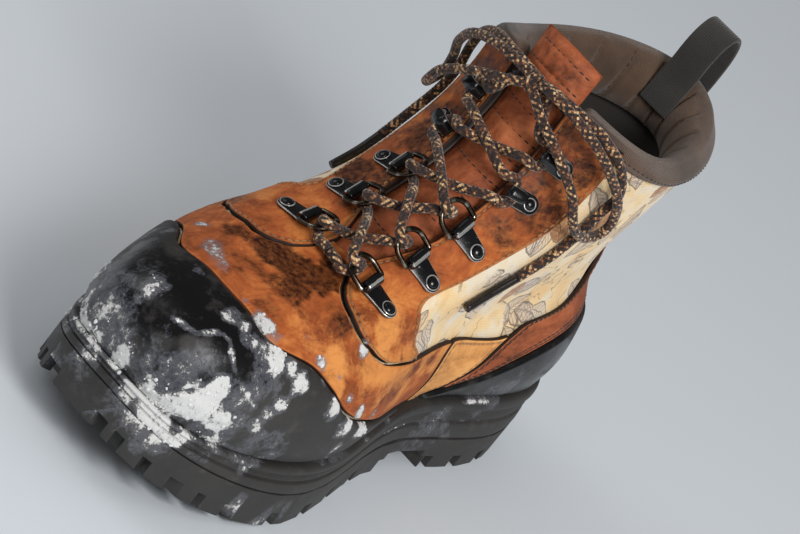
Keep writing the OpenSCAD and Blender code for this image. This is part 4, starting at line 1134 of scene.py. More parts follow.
facingForm = {"grid": (50, 180), "rim": 1.35, "stitched": (2.4,), "uneven": 0.35}
foxingForm = {"grid": (60, 40), "stitched": (2.2,), "look": "foxing"}
capForm = {
    "grid": (290, 96), "radius": 2.2, "rim": 1, "uneven": 0.5, "crust": 0.9, "thick": last["capThick"],
    "low": last["capSeat"], "kind": "rubber", "look": "rubber", "slot": "black_rubber",
}
upperPanels = {
    "vamp_leather": (vampPlace, {
        "grid": (230, 60), "rim": 2.0, "uneven": 0.5, "crust": 0.5,
        # flex lines over the ball: level, middle and reach round the foot, depth
        "creases": ((2.98, -4, 34, 0.20), (3.16, 8, 30, 0.26), (3.33, -6, 28, 0.26), (3.5, 4, 24, 0.2)),
    }),
    "medial_facing_leather": (facingPlace(medial), facingForm),
    "medial_foxing_leather": (foxingPlace(medial), foxingForm),
    "lateral_facing_leather": (facingPlace(lateral), facingForm),
    "lateral_foxing_leather": (foxingPlace(lateral), foxingForm),
    "heel_counter_leather": (counterPlace, {
        "grid": (150, 70), "stitched": (2.2, 4.6), "uneven": 0.4, "thread": "darkThread",
        "low": last["counterSeat"], "look": "brown", "slot": "brown_leather",
    }),
    "backstay_leather": (backstayPlace, {
        "grid": (30, 80), "rim": 1.8, "stitched": (2.2,), "uneven": 0.2, "low": seat,
    }),
    "toe_cap_rubber": (toeCapPlace, capForm),
    "heel_cap_rubber": (heelCapPlace, {**capForm, "grid": (160, 50)}),
}


def makeUpper():
    for name, (place, changes) in upperPanels.items():
        form = {**panelForm, **changes}
        finishPiece(panel(name, place, form), looks[form["look"]], form["slot"], name.rpartition("_")[0])


makeUpper()
print("stage: leather and rubber of the upper")


# soles

outsoleForm = {
    "merge": 0.02,          # points closer than this are one
    "flat": 1.5,            # degrees between faces that become one
    "sharp": 35,            # degrees between faces whose edge is rounded
    "round": 0.7,
    "frostFrom": 1,         # height off the ground
}
midsoleForm = {
    "columns": 360,
    "levels": 56,
    "crowded": 6,           # degrees that the columns move towards the heel and the toe
    # inset from the plan outline at each share of the wall's height
    "profile": [[0, 0.8], [0.05, 0.2], [0.14, 0.0], [0.30, 0.2], [0.40, 0.6], [0.44, 1.5], [0.48, 1.5],
                [0.52, 0.8], [0.60, 1.0], [0.70, 1.5], [0.74, 1.2], [0.78, 0.4], [0.86, 0.35], [0.94, 0.8],
                [0.98, 1.5], [1.0, 2.6]],
    "inside": (12, 24),     # insets of the flat rows above and below
    "ledges": ((0.46, 0.035), (0.97, 0.04)),    # where frost stays: share of the height, width
    "ledgeFrost": 0.75, "ledgePatches": 26.0,
}


# Copy of a CAD node with its triangles merged and its edges rounded
def roundedCopy(node, name, form):
    data = nodes[node].data.copy()
    data.name = name
    shape = bmesh.new()
    shape.from_mesh(data)
    bmesh.ops.remove_doubles(shape, verts=shape.verts, dist=form["merge"] * toMetres)
    flat = math.radians(form["flat"])
    bmesh.ops.dissolve_limit(shape, angle_limit=flat, verts=shape.verts, edges=shape.edges)
    shape.to_mesh(data)
    shape.free()
    data.materials.clear()
    piece = linked(name, data)
    bevel = piece.modifiers.new("roundedEdges", "BEVEL")
    bevel.width = form["round"] * toMetres
    bevel.segments = 2
    bevel.limit_method = "ANGLE"
    bevel.angle_limit = math.radians(form["sharp"])
    return bakedCopy(piece, name)


def makeOutsole():
    piece = roundedCopy("outsole", "outsole_rubber", outsoleForm)
    points = pointsOf(piece)
    raised = points[:, 2] > outsoleForm["frostFrom"]
    setValues(piece, "frost", blobMask(points, marks["rubber"]["frost"], 1) * raised)
    setValues(piece, "edge", farFromEdge)
    finishPiece(piece, looks["rubber"], "black_rubber", "outsole")


# Faces that close a ring of points whose halves mirror each other
def closingFaces(n, start, flip):
    faces = []
    for i in range(n // 2):
        face = [start + k for k in dict.fromkeys((i, i + 1, (n - i - 1) % n, (n - i) % n))]
        faces.append(tuple(face[::-1] if flip else face))
    return faces


def makeMidsole():
    form = midsoleForm
    n = form["columns"]
    turn = np.linspace(0, 360, n, endpoint=False)
    turn = turn - form["crowded"] * sine(2 * turn)
    steps = [(inset, 0) for inset in form["inside"][::-1]]
    steps += [(float(curve(form["profile"], share)), share) for share in np.linspace(0, 1, form["levels"])]
    steps += [(inset, 1) for inset in form["inside"]]
    rows = []
    for inset, share in steps:
        x, y = plan(turn, inset)
        t = along(y)
        rows.append(np.stack([x, y, mix(outsoleTop(t) + seat, soleTop(t), share)], -1))
    points = np.concatenate(rows)
    faces = ringFaces(len(rows), n) + closingFaces(n, 0, True) + closingFaces(n, (len(rows) - 1) * n, False)
    piece = makeMesh("midsole_rubber", points, faces)
    share = np.repeat([share for inset, share in steps], n)
    ledges = sum(np.exp(-((share - middle) / width) ** 2) for middle, width in form["ledges"])
    patches = clamp((roughNoise(points, form["ledgePatches"], 4) - 0.50) / 0.1)
    frost = np.maximum(blobMask(points, marks["rubber"]["frost"], 1), form["ledgeFrost"] * ledges * patches)
    setValues(piece, "frost", frost)
    setValues(piece, "edge", farFromEdge)
    wall = slice(2, -2)
    frosted.append((np.stack(rows[wall]), frost.reshape(len(rows), n)[wall]))
    finishPiece(outwards(piece), looks["rubber"], "sole_rubber", "midsole")


makeOutsole()
makeMidsole()
footbed = nodes["footbed"].data
footbed.materials.clear()
footbed.materials.append(looks["lining"])
print("stage: soles")


# textile of the bootie: sides and heel in one sheet, the forefoot under the vamp in another

bootie = {"top": 6.67, "printedFrom": 32, "forefootTop": 4}     # levels, and an angle from the front
slotAngle = 20.9            # the throat's edges, either side of the front


def bootieSheet(name, angles, levels):
    a, s = np.meshgrid(angles, levels, indexing="ij")
    outer = off(s, a, 0)
    return closedSheet(name, outer, off(s, a, -last["bootieThick"])), outer


def makeSides():
    levels = np.linspace(0, bootie["top"], 150)
    angles = np.linspace(-(180 - slotAngle), 180 - slotAngle, 300)
    piece, outer = bootieSheet("side_textile", angles, levels)
    printed = np.repeat(clamp((180 - np.abs(angles) - bootie["printedFrom"]) / 0.5), len(levels))
    setValues(piece, "print", np.concatenate([printed, 0 * printed]))
    # the print runs level round the shaft, and straight on past the toe
    half = off(4.5, np.linspace(0, angles[-1], 200), 0)
    run = distances(half)
    y = np.append(half[:, 1], half[-1, 1] - 300)
    shifted = outer[..., 1] - off(levels, 0, 0)[None, :, 1] + half[0, 1]
    across = np.interp(-shifted, -y, np.append(run, run[-1] + 300))
    mapSheet(piece, np.sign(angles)[:, None] * across, outer[..., 2])
    finishPiece(piece, looks["camo"], "printed_textile", "medial_textile", "lateral_textile",
                "medial_shaft_textile", "lateral_shaft_textile", "heel_textile")


def makeForefoot():
    q = np.linspace(-slotAngle + 0.05, slotAngle - 0.05, 40)
    piece, outer = bootieSheet("toe_textile", front(q)[::-1], np.linspace(0, bootie["forefootTop"], 60))
    setValues(piece, "print", 0)
    mapSheet(piece, distances(outer, 0), distances(outer, 1))
    finishPiece(piece, looks["camo"], "printed_textile", "forefoot_textile")


makeSides()
makeForefoot()
print("stage: textile")


# pads: cloth under pressure, pinned where it is sewn, with its moves capped

padding = {
    "frames": 16,
    "cloth": {
        "quality": 4, "mass": 0.02, "tension_stiffness": 4.0, "compression_stiffness": 4.0,
        "shear_stiffness": 4.0, "bending_stiffness": 0.02, "use_pressure": True,
        "uniform_pressure_force": 42.0,
    },
}


# Swollen and rounded copy of a piece, and its points before the rounding
def puffed(piece, pinned, reach):
    points = pointsOf(piece)
    sewn = piece.vertex_groups.new(name="sewn")
    sewn.add(np.flatnonzero(pinned).tolist(), 1.0, "REPLACE")
    cloth = piece.modifiers.new("padding", "CLOTH")
    for key, value in padding["cloth"].items():
        setattr(cloth.settings, key, value)
    cloth.settings.effector_weights.gravity = 0
    cloth.settings.vertex_group_mass = "sewn"
    cloth.collision_settings.use_collision = False
    cloth.collision_settings.use_self_collision = False
    cloth.point_cache.frame_start = 1
    cloth.point_cache.frame_end = padding["frames"]
    scene = bpy.context.scene
    for step in range(1, padding["frames"] + 1):
        scene.frame_set(step)
    move = pointsOf(piece.evaluated_get(bpy.context.evaluated_depsgraph_get())) - points
    scene.frame_set(1)
    piece.modifiers.remove(cloth)
    piece.vertex_groups.remove(sewn)
    length = np.linalg.norm(move, axis=1, keepdims=True)
    print(piece.name, "swells by up to", round(float(length.max()), 2), "mm")
    points = points + move * np.minimum(1, reach / np.maximum(length, 1e-6))
    piece.data.vertices.foreach_set("co", (points * toMetres).astype(np.float32).ravel())
    piece.data.update()
    rounded = piece.modifiers.new("rounded", "SUBSURF")
    rounded.levels = rounded.render_levels = 1
    return bakedCopy(piece, piece.name), points


# Where a row of values has its peaks
def peaksOf(values, margin):
    return [i for i in range(margin, len(values) - margin)
            if values[i] > 0.5 and values[i] >= values[i - 1] and values[i] > values[i + 1]]


collarForm = {
    # lift off the last and level, round the roll and down the lining
    "section": [[-3.25, 5.75], [-8, 5.8], [-11, 6.15], [-11, 6.65], [-8, 7.05], [-4, 7.15], [-1, 7.05],
                [2.5, 6.9], [2.5, 6.75], [0.2, 6.69], [-3.25, 6.69], [-3.25, 6.33], [-3.25, 6.0]],
    "reach": 153.2, "columns": 200, "steps": 4,
    "channel": 17,          # degrees from one sewn channel to the next
    "channelWidth": 1.3, "sunk": 1.5, "swell": 1.5, "fill": 0.8,
    "ends": (0.82, 0.93, 0.98),
}


def makeCollar():
    form = collarForm
    angles = np.linspace(-form["reach"], form["reach"], form["columns"])
    section = smoothLine(form["section"], form["steps"], closed=True)
    lift, level = section.T
    inner = clamp((-lift - 6) / 3) * clamp((7.08 - level) / 0.15)
    beside = np.abs((angles / form["channel"]) % 1 - 0.5)
    near = np.exp(-((0.5 - beside) * form["channel"] / form["channelWidth"]) ** 2)
    loops = []
    for a, sunk in zip(angles, near):
        roll = clamp((180 - abs(a) - 55) / 20)
        rise = np.where(lift > -2, mix(-0.3, lift, roll), lift)
        loops.append(off(level, a, rise + form["sunk"] * sunk * inner))
    loops = np.array(loops)
    for i, share in enumerate(form["ends"]):
        for k in (i, -1 - i):
            middle = loops[k].mean(0)
            loops[k] = middle + (loops[k] - middle) * share
    n, m = loops.shape[:2]
    piece = outwards(loft("padded_collar", loops))
    mapLoft(piece, distances(loops, 0), distances(loops, 1))
    pinned = np.tile(lift > -4, (n, 1))
    pinned[:4] = pinned[-4:] = True
    pinned |= (near > 0.8)[:, None] & (inner > 0.5)
    piece, points = puffed(piece, np.append(pinned.ravel(), [True, True]), form["swell"])
    loops = points[:-2].reshape(n, m, 3)
    rim = int(np.argmin(np.abs(lift - 2.5) + 20 * np.abs(level - 6.83)))
    lines = [loops[i, inner > 0.5] for i in peaksOf(near, 4)] + [loops[6:-6, rim]]
    stitchLines.setdefault("darkThread", []).extend(lines)
    finishPiece(piece, looks["padding"], "collar_padding", "collar")


tongueForm = {
    "foot": 3.78, "top": 7.6, "angle": 24, "thick": 7, "across": 32, "length": 120,
    "channel": 0.33, "channelWidth": 0.16, "crown": 2.4, "swell": 1.0, "fill": 0.7,
}


def makeTongue():
    form = tongueForm
    under = -last["bootieThick"] - seat
    u, v = np.meshgrid(np.linspace(0, 1, form["across"]), np.linspace(0, 1, form["length"]), indexing="ij")
    q = mix(-form["angle"], form["angle"], u)
    s = mix(form["foot"], form["top"], v)
    crown = clamp(1 - np.abs(q) / (slotAngle - 3)) ** 0.8
    puff = clamp((v * 15 - 1) / 2) * clamp(15 * (1 - v) / 1.5 + 0.3)
    away = np.abs((s - form["foot"]) / form["channel"] % 1 - 0.5) * 2
    loose = 1 - np.exp(-((1 - away) / form["channelWidth"]) ** 2)       # 0 in a channel, 1 between two
    outer = under + form["crown"] * crown * puff * mix(0.55, 1, loose) - 0.15
    edge = np.sqrt(clamp(1 - (2 * np.abs(u - 0.5)) ** 8)) * np.sqrt(clamp(1 - clamp((v - 0.96) / 0.04) ** 2))
    foot = clamp(v * 5)
    thick = form["thick"] * mix(0.3, 1, foot) * mix(0.12, 1, edge) * mix(0.8, 1, loose)
    middle = under - form["thick"] * 0.5 * mix(0.35, 1, foot)
    top = mix(middle, outer, mix(0.3, 1, edge))
    a = front(q)[::-1]
    outside = off(s, a, top[::-1])
    piece = closedSheet("padded_tongue", outside, off(s, a, (under - thick)[::-1]))
    mapSheet(piece, distances(outside, 0), distances(outside, 1))
    setValues(piece, "edge", farFromEdge)
    outwards(piece)
    pinned = (loose < 0.35) | (np.abs(q) > slotAngle - 4) | (s < form["foot"] + 0.25) | (v > 0.975)
    piece, points = puffed(piece, np.tile(pinned.ravel(), 2), form["swell"])
    outside = points[:s.size].reshape(*s.shape, 3)
    stitchLines.setdefault("darkThread", []).extend(outside[4:-4, j] for j in peaksOf(1 - loose[0], 2))
    finishPiece(piece, looks["brown"], "collar_padding", "tongue")


makeCollar()
makeTongue()
print("stage: collar and tongue")


# pull loop: a flat strap swept along a line in the boot's middle plane

pullLoop = {"width": 15, "thick": 2, "rise": 24}


def arc(cx, cy, r, start, end, n):
    return [(cx + r * cosine(b), cy + r * sine(b)) for b in np.linspace(start, end, n)]


def strap(name, path, x, width, thick):
    tangent = unit(np.gradient(path, axis=0))
    normal = np.stack([tangent[:, 1], -tangent[:, 0]], -1)
    half, t = width / 2 - thick / 2, thick / 2
    outline = np.array(arc(half, 0, t, -90, 90, 7) + arc(-half, 0, t, 90, 270, 7))
    loops = np.zeros((len(path), len(outline), 3))
    loops[:, :, 0] = x + outline[:, 0]
    loops[:, :, 1:] = path[:, None, :] + normal[:, None, :] * outline[None, :, 1, None]
    piece = outwards(loft(name, loops))
    run = distances(loops, 0)
    mapLoft(piece, np.broadcast_to(outline[:, 0], run.shape), run)
    return piece


def makePullLoop():
    half = pullLoop["thick"] / 2
    outside = last["leather"] + 2 * seat + half
    overRoll = 2.5 + seat + half
    inside = 11 + 7 * seat + half
    outer = [off(level, 0, lift) for level, lift in (
        (5.9, outside), (6.5, outside + 0.3), (6.8, overRoll), (7.1, overRoll))]
    inner = [off(level, 0, -inside) for level in (7.1, 6.6, 6.2)]
    (y, z), (backY, backZ) = outer[-1][1:], inner[0][1:]
    bend = []
    for b in np.arange(0, 181, 22.5):
        rise = pullLoop["rise"] * (0.35 + 0.65 * sine(b))
        bend.append((0, mix(y, backY, (1 - cosine(b)) / 2), mix(z, backZ, b / 180) + rise))
    path = smoothLine([p[1:] for p in outer + bend + inner], 8)
    piece = strap("pull_loop_webbing", path, outer[0][0], pullLoop["width"], pullLoop["thick"])
    finishPiece(piece, looks["webbing"], "webbing", "pull_loop")


makePullLoop()
print("stage: pull loop")


# lacing hardware, each piece in its own frame: x to the throat, z off the leather

hardware = {
    "wire": 2.2, "ringWidth": 11, "ringReach": 10.5, "ringCorner": 1.2, "ringTilt": -8, "ringSides": 14,
    "clipWidth": 9.2, "clipTail": 7.4, "clipLength": 11, "sheet": 1.2, "sheetRim": 0.3, "rivet": 6.2,
    "level": [3.8, 4.29, 4.72], "q": [29.5, 28.5, 28.5], "turn": [50, 42, 34],
    "hookLevel": [5.4, 6.1], "hookQ": 28, "hookNeck": 5, "hookWall": 1.4, "hookBend": 2.2, "hookReach": 8,
    "hookRivet": 5.4, "hookEnd": 7, "lace": 4.0, "laceGap": 0.4, "eyeTurn": 0.8,
}
wireRadius, laceRadius = hardware["wire"] / 2, hardware["lace"] / 2
sheet, gap = hardware["sheet"], hardware["laceGap"]
plateLift = last["leather"] + last["facingSeat"] + 0.4
barrel = wireRadius + 0.12
ringRadius = (hardware["ringWidth"] + hardware["wire"]) / 2
ringStraight = hardware["ringReach"] - hardware["ringWidth"] / 2
hookMouth = hardware["lace"] + 0.6


def placeOn(s, side, q, lift):
    a = front(side * q)
    w = skinNormal(s, a)
    inward = skinPoint(s, front(side * (q - 1))) - skinPoint(s, front(side * (q + 1)))
    u = unit(inward - w * (inward @ w))
    return off(s, a, lift), u, np.cross(w, u), w


def clipPlace(side, row):
    origin, u, v, w = placeOn(hardware["level"][row - 1], side, hardware["q"][row - 1], plateLift)
    b = -side * hardware["turn"][row - 1]
    return origin, cosine(b) * u + sine(b) * v, cosine(b) * v - sine(b) * u, w


def hookPlace(side, row):
    return placeOn(hardware["hookLevel"][row - 1], side, hardware["hookQ"], plateLift)


# A point given in a frame, in the boot's own place
def at(f, p):
    p = np.asarray(p, float)
    return f[0] + p[..., 0:1] * f[1] + p[..., 1:2] * f[2] + p[..., 2:3] * f[3]


# A point of the ring, in the frame of its clip
def inRing(p):
    x, y, z = np.moveaxis(np.asarray(p, float), -1, 0)
    c, s = cosine(hardware["ringTilt"]), sine(hardware["ringTilt"])
    return np.stack([hardware["clipLength"] / 2 + x * c + z * s, y, barrel + sheet - x * s + z * c], -1)


def tubeLoops(path, radius, sides, closed=False):
    tangent = unit(np.roll(path, -1, 0) - np.roll(path, 1, 0) if closed else np.gradient(path, axis=0))
    across = np.zeros_like(path)
    across[0] = unit(np.cross(tangent[0], [0.13, 0.31, 0.94]))
    for i in range(1, len(path)):
        across[i] = unit(across[i - 1] - tangent[i] * (across[i - 1] @ tangent[i]))
    other = np.cross(tangent, across)
    b = np.arange(sides) * 2 * np.pi / sides
    around = np.cos(b)[None, :, None] * across[:, None, :] + np.sin(b)[None, :, None] * other[:, None, :]
    return path[:, None, :] + np.asarray(radius)[..., None] * around


# Part that revolves round a line along z at x: pairs of radius and height
def lathe(profile, sides, x=0):
    r, z = np.array(profile).T[..., None]
    b = np.arange(sides) * 360 / sides
    points = np.stack([x + r * cosine(b), r * sine(b), z + 0 * b], -1)
    return points.reshape(-1, 3), cappedFaces(len(profile), sides)


# Flat plate of sheet metal, rounded along its rim, with the brightness of its six rows: rubbed wear and a
# painted highlight on the rolled rim
def plate(outline, wearAndHighlight):
    outline, rim, m = np.asarray(outline, float), hardware["sheetRim"], len(outline)
    ahead = unit(np.roll(outline, -1, 0) - np.roll(outline, 1, 0))
    inward = np.stack([-ahead[:, 1], ahead[:, 0]], -1)
    rows = [(rim, 0), (rim * 0.3, rim * 0.3), (0, rim)]
    rows += [(inset, sheet - z) for inset, z in rows[::-1]]
    points = [np.concatenate([outline + inward * inset, np.full((m, 1), z)], 1) for inset, z in rows]
    return np.concatenate(points), cappedFaces(len(rows), m), np.repeat(wearAndHighlight, m)


# Outline from its half with y above 0, which comes last
def mirrored(half):
    return [(x, -y) for x, y in half] + half[::-1]


# One mesh from parts, each its points, faces and how bright its metal is painted: rubbed wear and painted
# highlights
def gather(name, parts, f):
    points, faces, values = [], [], []
    start = 0
    for p, fs, wearAndHighlight in parts:
        points.append(p)
        faces += [tuple(v + start for v in face) for face in fs]
        values.append(np.broadcast_to(wearAndHighlight, len(p)))
        start += len(p)
    piece = makeMesh(name, at(f, np.concatenate(points)), faces)
    setValues(piece, "wearAndHighlight", np.concatenate(values))
    return outwards(piece)


# Rivet at x: a rolled washer and a dome
def rivetParts(x, head):
    z, rim = sheet - 0.05, head / 2
    dome = rim * 0.70
    washer = [(rim, z), (rim, z + 0.35), (rim - 0.12, z + 0.52), (rim - 0.35, z + 0.6),
              (rim * 0.74, z + 0.58), (dome, z + 0.4)]
    cap = [(dome, z + 0.35)]
    cap += [(dome * cosine(b), z + 0.45 + dome * 0.52 * sine(b)) for b in (6, 18, 32, 46, 60, 74, 84)]
    # The washer's rolled rim is painted bright: rubbed wear and a painted highlight ring
    return [(*lathe(washer, 32, x), np.repeat([0, 0.15, 0.6, 0.5, 0, 0], 32)), (*lathe(cap, 32, x), 0)]


def makeClip(name, f):
    back = -hardware["clipLength"] / 2
    tail, wide = hardware["clipTail"] / 2, hardware["clipWidth"] / 2
    half = [(back * 0.4, mix(tail, wide, 0.3)), (0, mix(tail, wide, 0.5)), (-back * 0.8, wide), (-back, wide)]
    base = plate(arc(back, 0, tail, 97, 263, 18) + mirrored(half), [0, 0, 0, 0.5, 0.75, 0.15])
    r = barrel + sheet
    rolled = [(r - 0.5, -wide), (r - 0.15, -wide + 0.12)]
    rolled += [(r, -wide + 0.45 + (2 * wide - 0.9) * k / 6) for k in range(7)]
    rolled += [(r - 0.15, wide - 0.12), (r - 0.5, wide)]
    turned, faces = lathe(rolled, 60)
    x, z, y = turned.T
    # A bright band at one angle round the rolled barrel: a painted highlight, given as bare metal
    crest = np.exp(-((np.degrees(np.arctan2(z, x)) - 112) / 15) ** 2)
    roll = (np.stack([x - back, y, z + r], -1), faces, crest)
    piece = gather(name + "_metal", [base, roll] + rivetParts(back, hardware["rivet"]), f)
    finishPiece(piece, looks["black"], "black_metal", name)


def makeRing(name, f):
    corner = hardware["ringCorner"]
    path = (arc(ringStraight, 0, ringRadius, -90, 90, 26)
            + arc(corner, ringRadius - corner, corner, 90, 180, 6)
            + arc(corner, -ringRadius + corner, corner, 180, 270, 6))
    path = np.array([(x, y, 0) for x, y in path])
    loops = tubeLoops(path, wireRadius, hardware["ringSides"], closed=True)
    n, m = loops.shape[:2]
    # Bright patches along the wire: painted glints
    lit = np.repeat(clamp(np.sin(np.linspace(0, 9 * np.pi, n))) * 0.5, m)
    piece = gather(name + "_wire", [(inRing(loops.reshape(-1, 3)), ringFaces(n, m, closed=True), lit)], f)
    finishPiece(piece, looks["wire"], "ring_wire", name)


def makeHook(name, f):
    wall, bend, reach = hardware["hookWall"], hardware["hookBend"], hardware["hookReach"]
    neck, end = hardware["hookNeck"] / 2, hardware["hookEnd"]
    top = sheet + hookMouth + wall
    half = [(3, 4), (4, 3.4), (5, neck), (end, neck)]
    base = plate(arc(-5, 0, 4, 90, 270, 16) + mirrored(half), [0, 0, 0, 0.4, 0.5, 0.1])
    x = end - wall / 2
    line = [(x, 0.2), (x, (top - wall - bend) / 2), (x, top - bend)]
    line += [(end - bend + (bend - wall / 2) * cosine(b), top - bend + (bend - wall / 2) * sine(b))
             for b in (20, 45, 70, 90)]
    line += [(end - reach * 0.6, top - wall / 2), (end - reach, top - wall / 2)]
    line = smoothLine(line, 3)
    tangent = unit(np.gradient(line, axis=0))
    normal = np.stack([-tangent[:, 1], tangent[:, 0]], -1)
    outline = [(neck - 0.3, -0.5), (neck, -0.25), (neck, 0.25), (neck - 0.3, 0.5)]
    outline = np.array(outline + [(-x, y) for x, y in outline[::-1]])
    n, m = len(line), len(outline)
    narrow = 1 - 0.45 * np.maximum(0, (np.arange(n) - n + 4) / 3) ** 2      # towards the tip
    skin = line[:, None, :] + normal[:, None, :] * outline[None, :, 1:] * wall
    points = np.stack([skin[..., 0], outline[:, 0] * narrow[:, None], skin[..., 1]], -1)
    bareAndHighlight = np.tile(np.where(np.abs(outline[:, 1]) == 0.25, 0.6, 0.1), n)
    strip = (points.reshape(-1, 3), cappedFaces(n, m), bareAndHighlight)
    piece = gather(name + "_metal", [base, strip] + rivetParts(-5, hardware["hookRivet"]), f)
    finishPiece(piece, looks["black"], "black_metal", name)


def makeHardware():
    for side, name in sideName.items():
        for row in (1, 2, 3):
            makeClip(f"{name}_clip_{row}", clipPlace(side, row))
            makeRing(f"{name}_ring_{row}", clipPlace(side, row))
        for row in (1, 2):
            makeHook(f"{name}_hook_{row}", hookPlace(side, row))


makeHardware()
print("stage: rings, clips and hooks")


# laces

passBy = wireRadius + laceRadius + gap
knot = {
    "level": 6.86, "lift": 5.2, "core": 2.7, "wrap": 2.3, "exit": 2.1, "cord": 3.6,
    "turns": (-40, 560), "width": 1.7, "points": 90,
}
firstLift = 1.4             # the strand between the two lowest rings arches over the vamp
freeLace = {
    # level, angle from the front and lift off the upper
    "bow": [[6.95, 18, 11], [6.8, 36, 12.5], [6.35, 54, 11], [5.85, 66, 8], [5.45, 70, 6.5], [5.3, 62, 8],
            [5.45, 50, 11], [5.85, 38, 14], [6.3, 24, 13.5], [6.6, 12, 11.5]],
    "end": [[6.98, 22, 4.5], [6.96, 38, 4.6], [6.75, 52, 5.6], [6.3, 61, 5.6], [5.8, 64, 3.6], [5.3, 66, 2.6],
            [4.8, 69, 2.4], [4.3, 72, 2.4]],
    "aglet": [[4.29, 72, 2.4], [3.95, 73, 2.3], [3.6, 74, 2.3]],
}
braid = {
    "strands": 8, "rise": 1.5, "step": 0.5, "sides": 24, "depth": 0.12, "uneven": 0.06, "unevenSize": 9.0,
}
aglet = {"radius": 0.46, "sides": 20}       # the radius in widths of the lace
knotFrame = placeOn(knot["level"], medial, 0, knot["lift"])


# The lace's way through a ring
def eye(side, row):
    r = ringRadius
    points = []
    b = side * hardware["eyeTurn"] * hardware["turn"][row - 1]
    for x, y, z in ((r + 2.4, 1.2, -passBy), (r - 0.7 * passBy, 0.6, -0.72 * passBy), (r - passBy, 0, 0),
                    (r - 0.7 * passBy, -0.6, 0.72 * passBy), (r + 2.4, -1.2, passBy)):
        turned = (ringStraight + x * cosine(b) - side * y * sine(b), x * sine(b) + side * y * cosine(b), z)
        points.append(at(clipPlace(side, row), inRing(turned)))
    return points


# The lace's way round a hook
def catch(side, row):
    wall = hardware["hookWall"]
    neck = hardware["hookEnd"] - wall / 2
    y = hardware["hookNeck"] / 2 + laceRadius + gap
    x = neck - wall / 2 - laceRadius - gap
    ways = (neck + 6, 1.05), (neck - 0.4, 1.05), (x - 0.2, 0), (neck - 0.4, -1.05), (neck + 6, -1.05)
    return [at(hookPlace(side, row), (px, side * y * py, sheet + hookMouth / 2)) for px, py in ways]


def crossing(p, q, s, over):
    return (p + q) / 2 + (1 if over else -1) * (laceRadius + 2 * seat) * skinNormal(s, front(0))


def knotExit(side, up, outer):
    return at(knotFrame, (-side * (knot["wrap"] + gap), -up * knot["exit"], outer * knot["exit"]))


def halfRoute(side):
    ends = eye(lateral, 1)[0], eye(medial, 1)[0]
    across = unit(ends[1] - ends[0])
    middle = (ends[0] + ends[1]) / 2 + firstLift * skinNormal(4.2, front(0))
    levels = hardware["level"] + hardware["hookLevel"]
    stops = [eye(side, 1), eye(-side, 2), eye(side, 3), catch(-side, 1), catch(side, 2)]
    route = [middle + side * gap * across, middle + side * 4.5 * across] + stops[0]
    for i, (here, there) in enumerate(zip(stops, stops[1:])):
        over = (side > 0) == (i % 2 == 0)
        route += [crossing(here[-1], there[0], mix(levels[i], levels[i + 1], 0.5), over)] + there
    end = knotExit(side, -1, -1)
    return route + [end + np.array([side * 5, 0, 0]), end]


# Points along a line at even steps, and the way covered to each
def evenly(path, step):
    run = distances(path)
    ways = np.linspace(0, run[-1], max(3, int(run[-1] / step)))
    return np.stack([np.interp(ways, run, path[:, k]) for k in range(3)], -1), ways


# Braided cord: the two sets of strands run round it as u and v of its own map
def braidedCord(name, node, path, diameter=hardware["lace"]):
    path, ways = evenly(path, braid["step"])
    n, m, strands = len(path), braid["sides"], braid["strands"]
    rise = ways / braid["rise"]
    around = np.arange(m + 1) / m * strands
    phases = around[None, :m] + rise[:, None], around[None, :m] - rise[:, None]
    over = (np.floor(phases[0]) + np.floor(phases[1])) % 2
    height = np.where(over > 0, *(np.sin(np.pi * (phase % 1)) for phase in phases))
    slack = 1 + braid["uneven"] * (noiseAt(path, braid["unevenSize"], 3) - 0.5)
    loops = tubeLoops(path, diameter / 2 * slack[:, None] * (1 - braid["depth"] + braid["depth"] * height), m)
    points = np.concatenate([loops.reshape(-1, 3), path[:1], path[-1:]])
    piece = makeMesh(name, points, loftFaces(n, m, flip=True))
    i, k = np.meshgrid(np.arange(n - 1), np.arange(m), indexing="ij")
    row, column = (np.stack(corners, -1) for corners in ((i, i + 1, i + 1, i), (k, k, k + 1, k + 1)))
    uv = np.stack([around[column] + rise[row], around[column] - rise[row]], -1).ravel()
    uv = np.concatenate([uv, np.zeros(12 * m)]).astype(np.float32)      # nothing on the poles
    piece.data.uv_layers.new(name="UVMap").data.foreach_set("uv", uv)
    finishPiece(piece, looks["lace"], "lace_cord", node)
    return piece, path


def lengthOf(path):
    return float(np.linalg.norm(np.diff(path, axis=0), axis=1).sum())


def lifted(points, side):
    return [off(s, front(side * q), lift) for s, q, lift in points]


def makeFreeCord(node, route, **facts):
    piece, path = braidedCord(node + "_cord", node, smoothLine(route, 8))
    print(node, round(lengthOf(path), 1), "mm")


def makeAglet(name, side):
    tip = smoothLine(lifted(freeLace["aglet"], side), 8)
    piece = loft(name + "_aglet_sleeve", tubeLoops(tip, hardware["lace"] * aglet["radius"], aglet["sides"]))
    setValues(piece, "wearAndHighlight", 0)
    return finishPiece(outwards(piece), looks["plastic"], "aglet_plastic", name + "_aglet")


def makeLaces():
    for side, name in sideName.items():
        braidedCord(f"lace_{name}_half_cord", f"lace_{name}_half", smoothLine(halfRoute(side), 6))
        bow = [knotExit(side, 1, 1)] + lifted(freeLace["bow"], side) + [knotExit(side, -1, 1)]
        makeFreeCord(name + "_bow", bow, far_end="object", lay="loose")
        tip = makeAglet(name, side)
        end = [knotExit(side, 1, -1)] + lifted(freeLace["end"], side)
        makeFreeCord(name + "_lace_end", end, far_end="fitting", lay="hanging", with_pieces=[tip])
    turns = np.linspace(*knot["turns"], knot["points"])
    axis = np.linspace(-knot["width"], knot["width"], knot["points"])
    local = np.stack([axis, knot["core"] * cosine(turns), knot["core"] * sine(turns)], -1)
    braidedCord("knot_cord", "lace_knot", at(knotFrame, local), knot["cord"])


makeLaces()
print("stage: laces")


# trees for what repeats

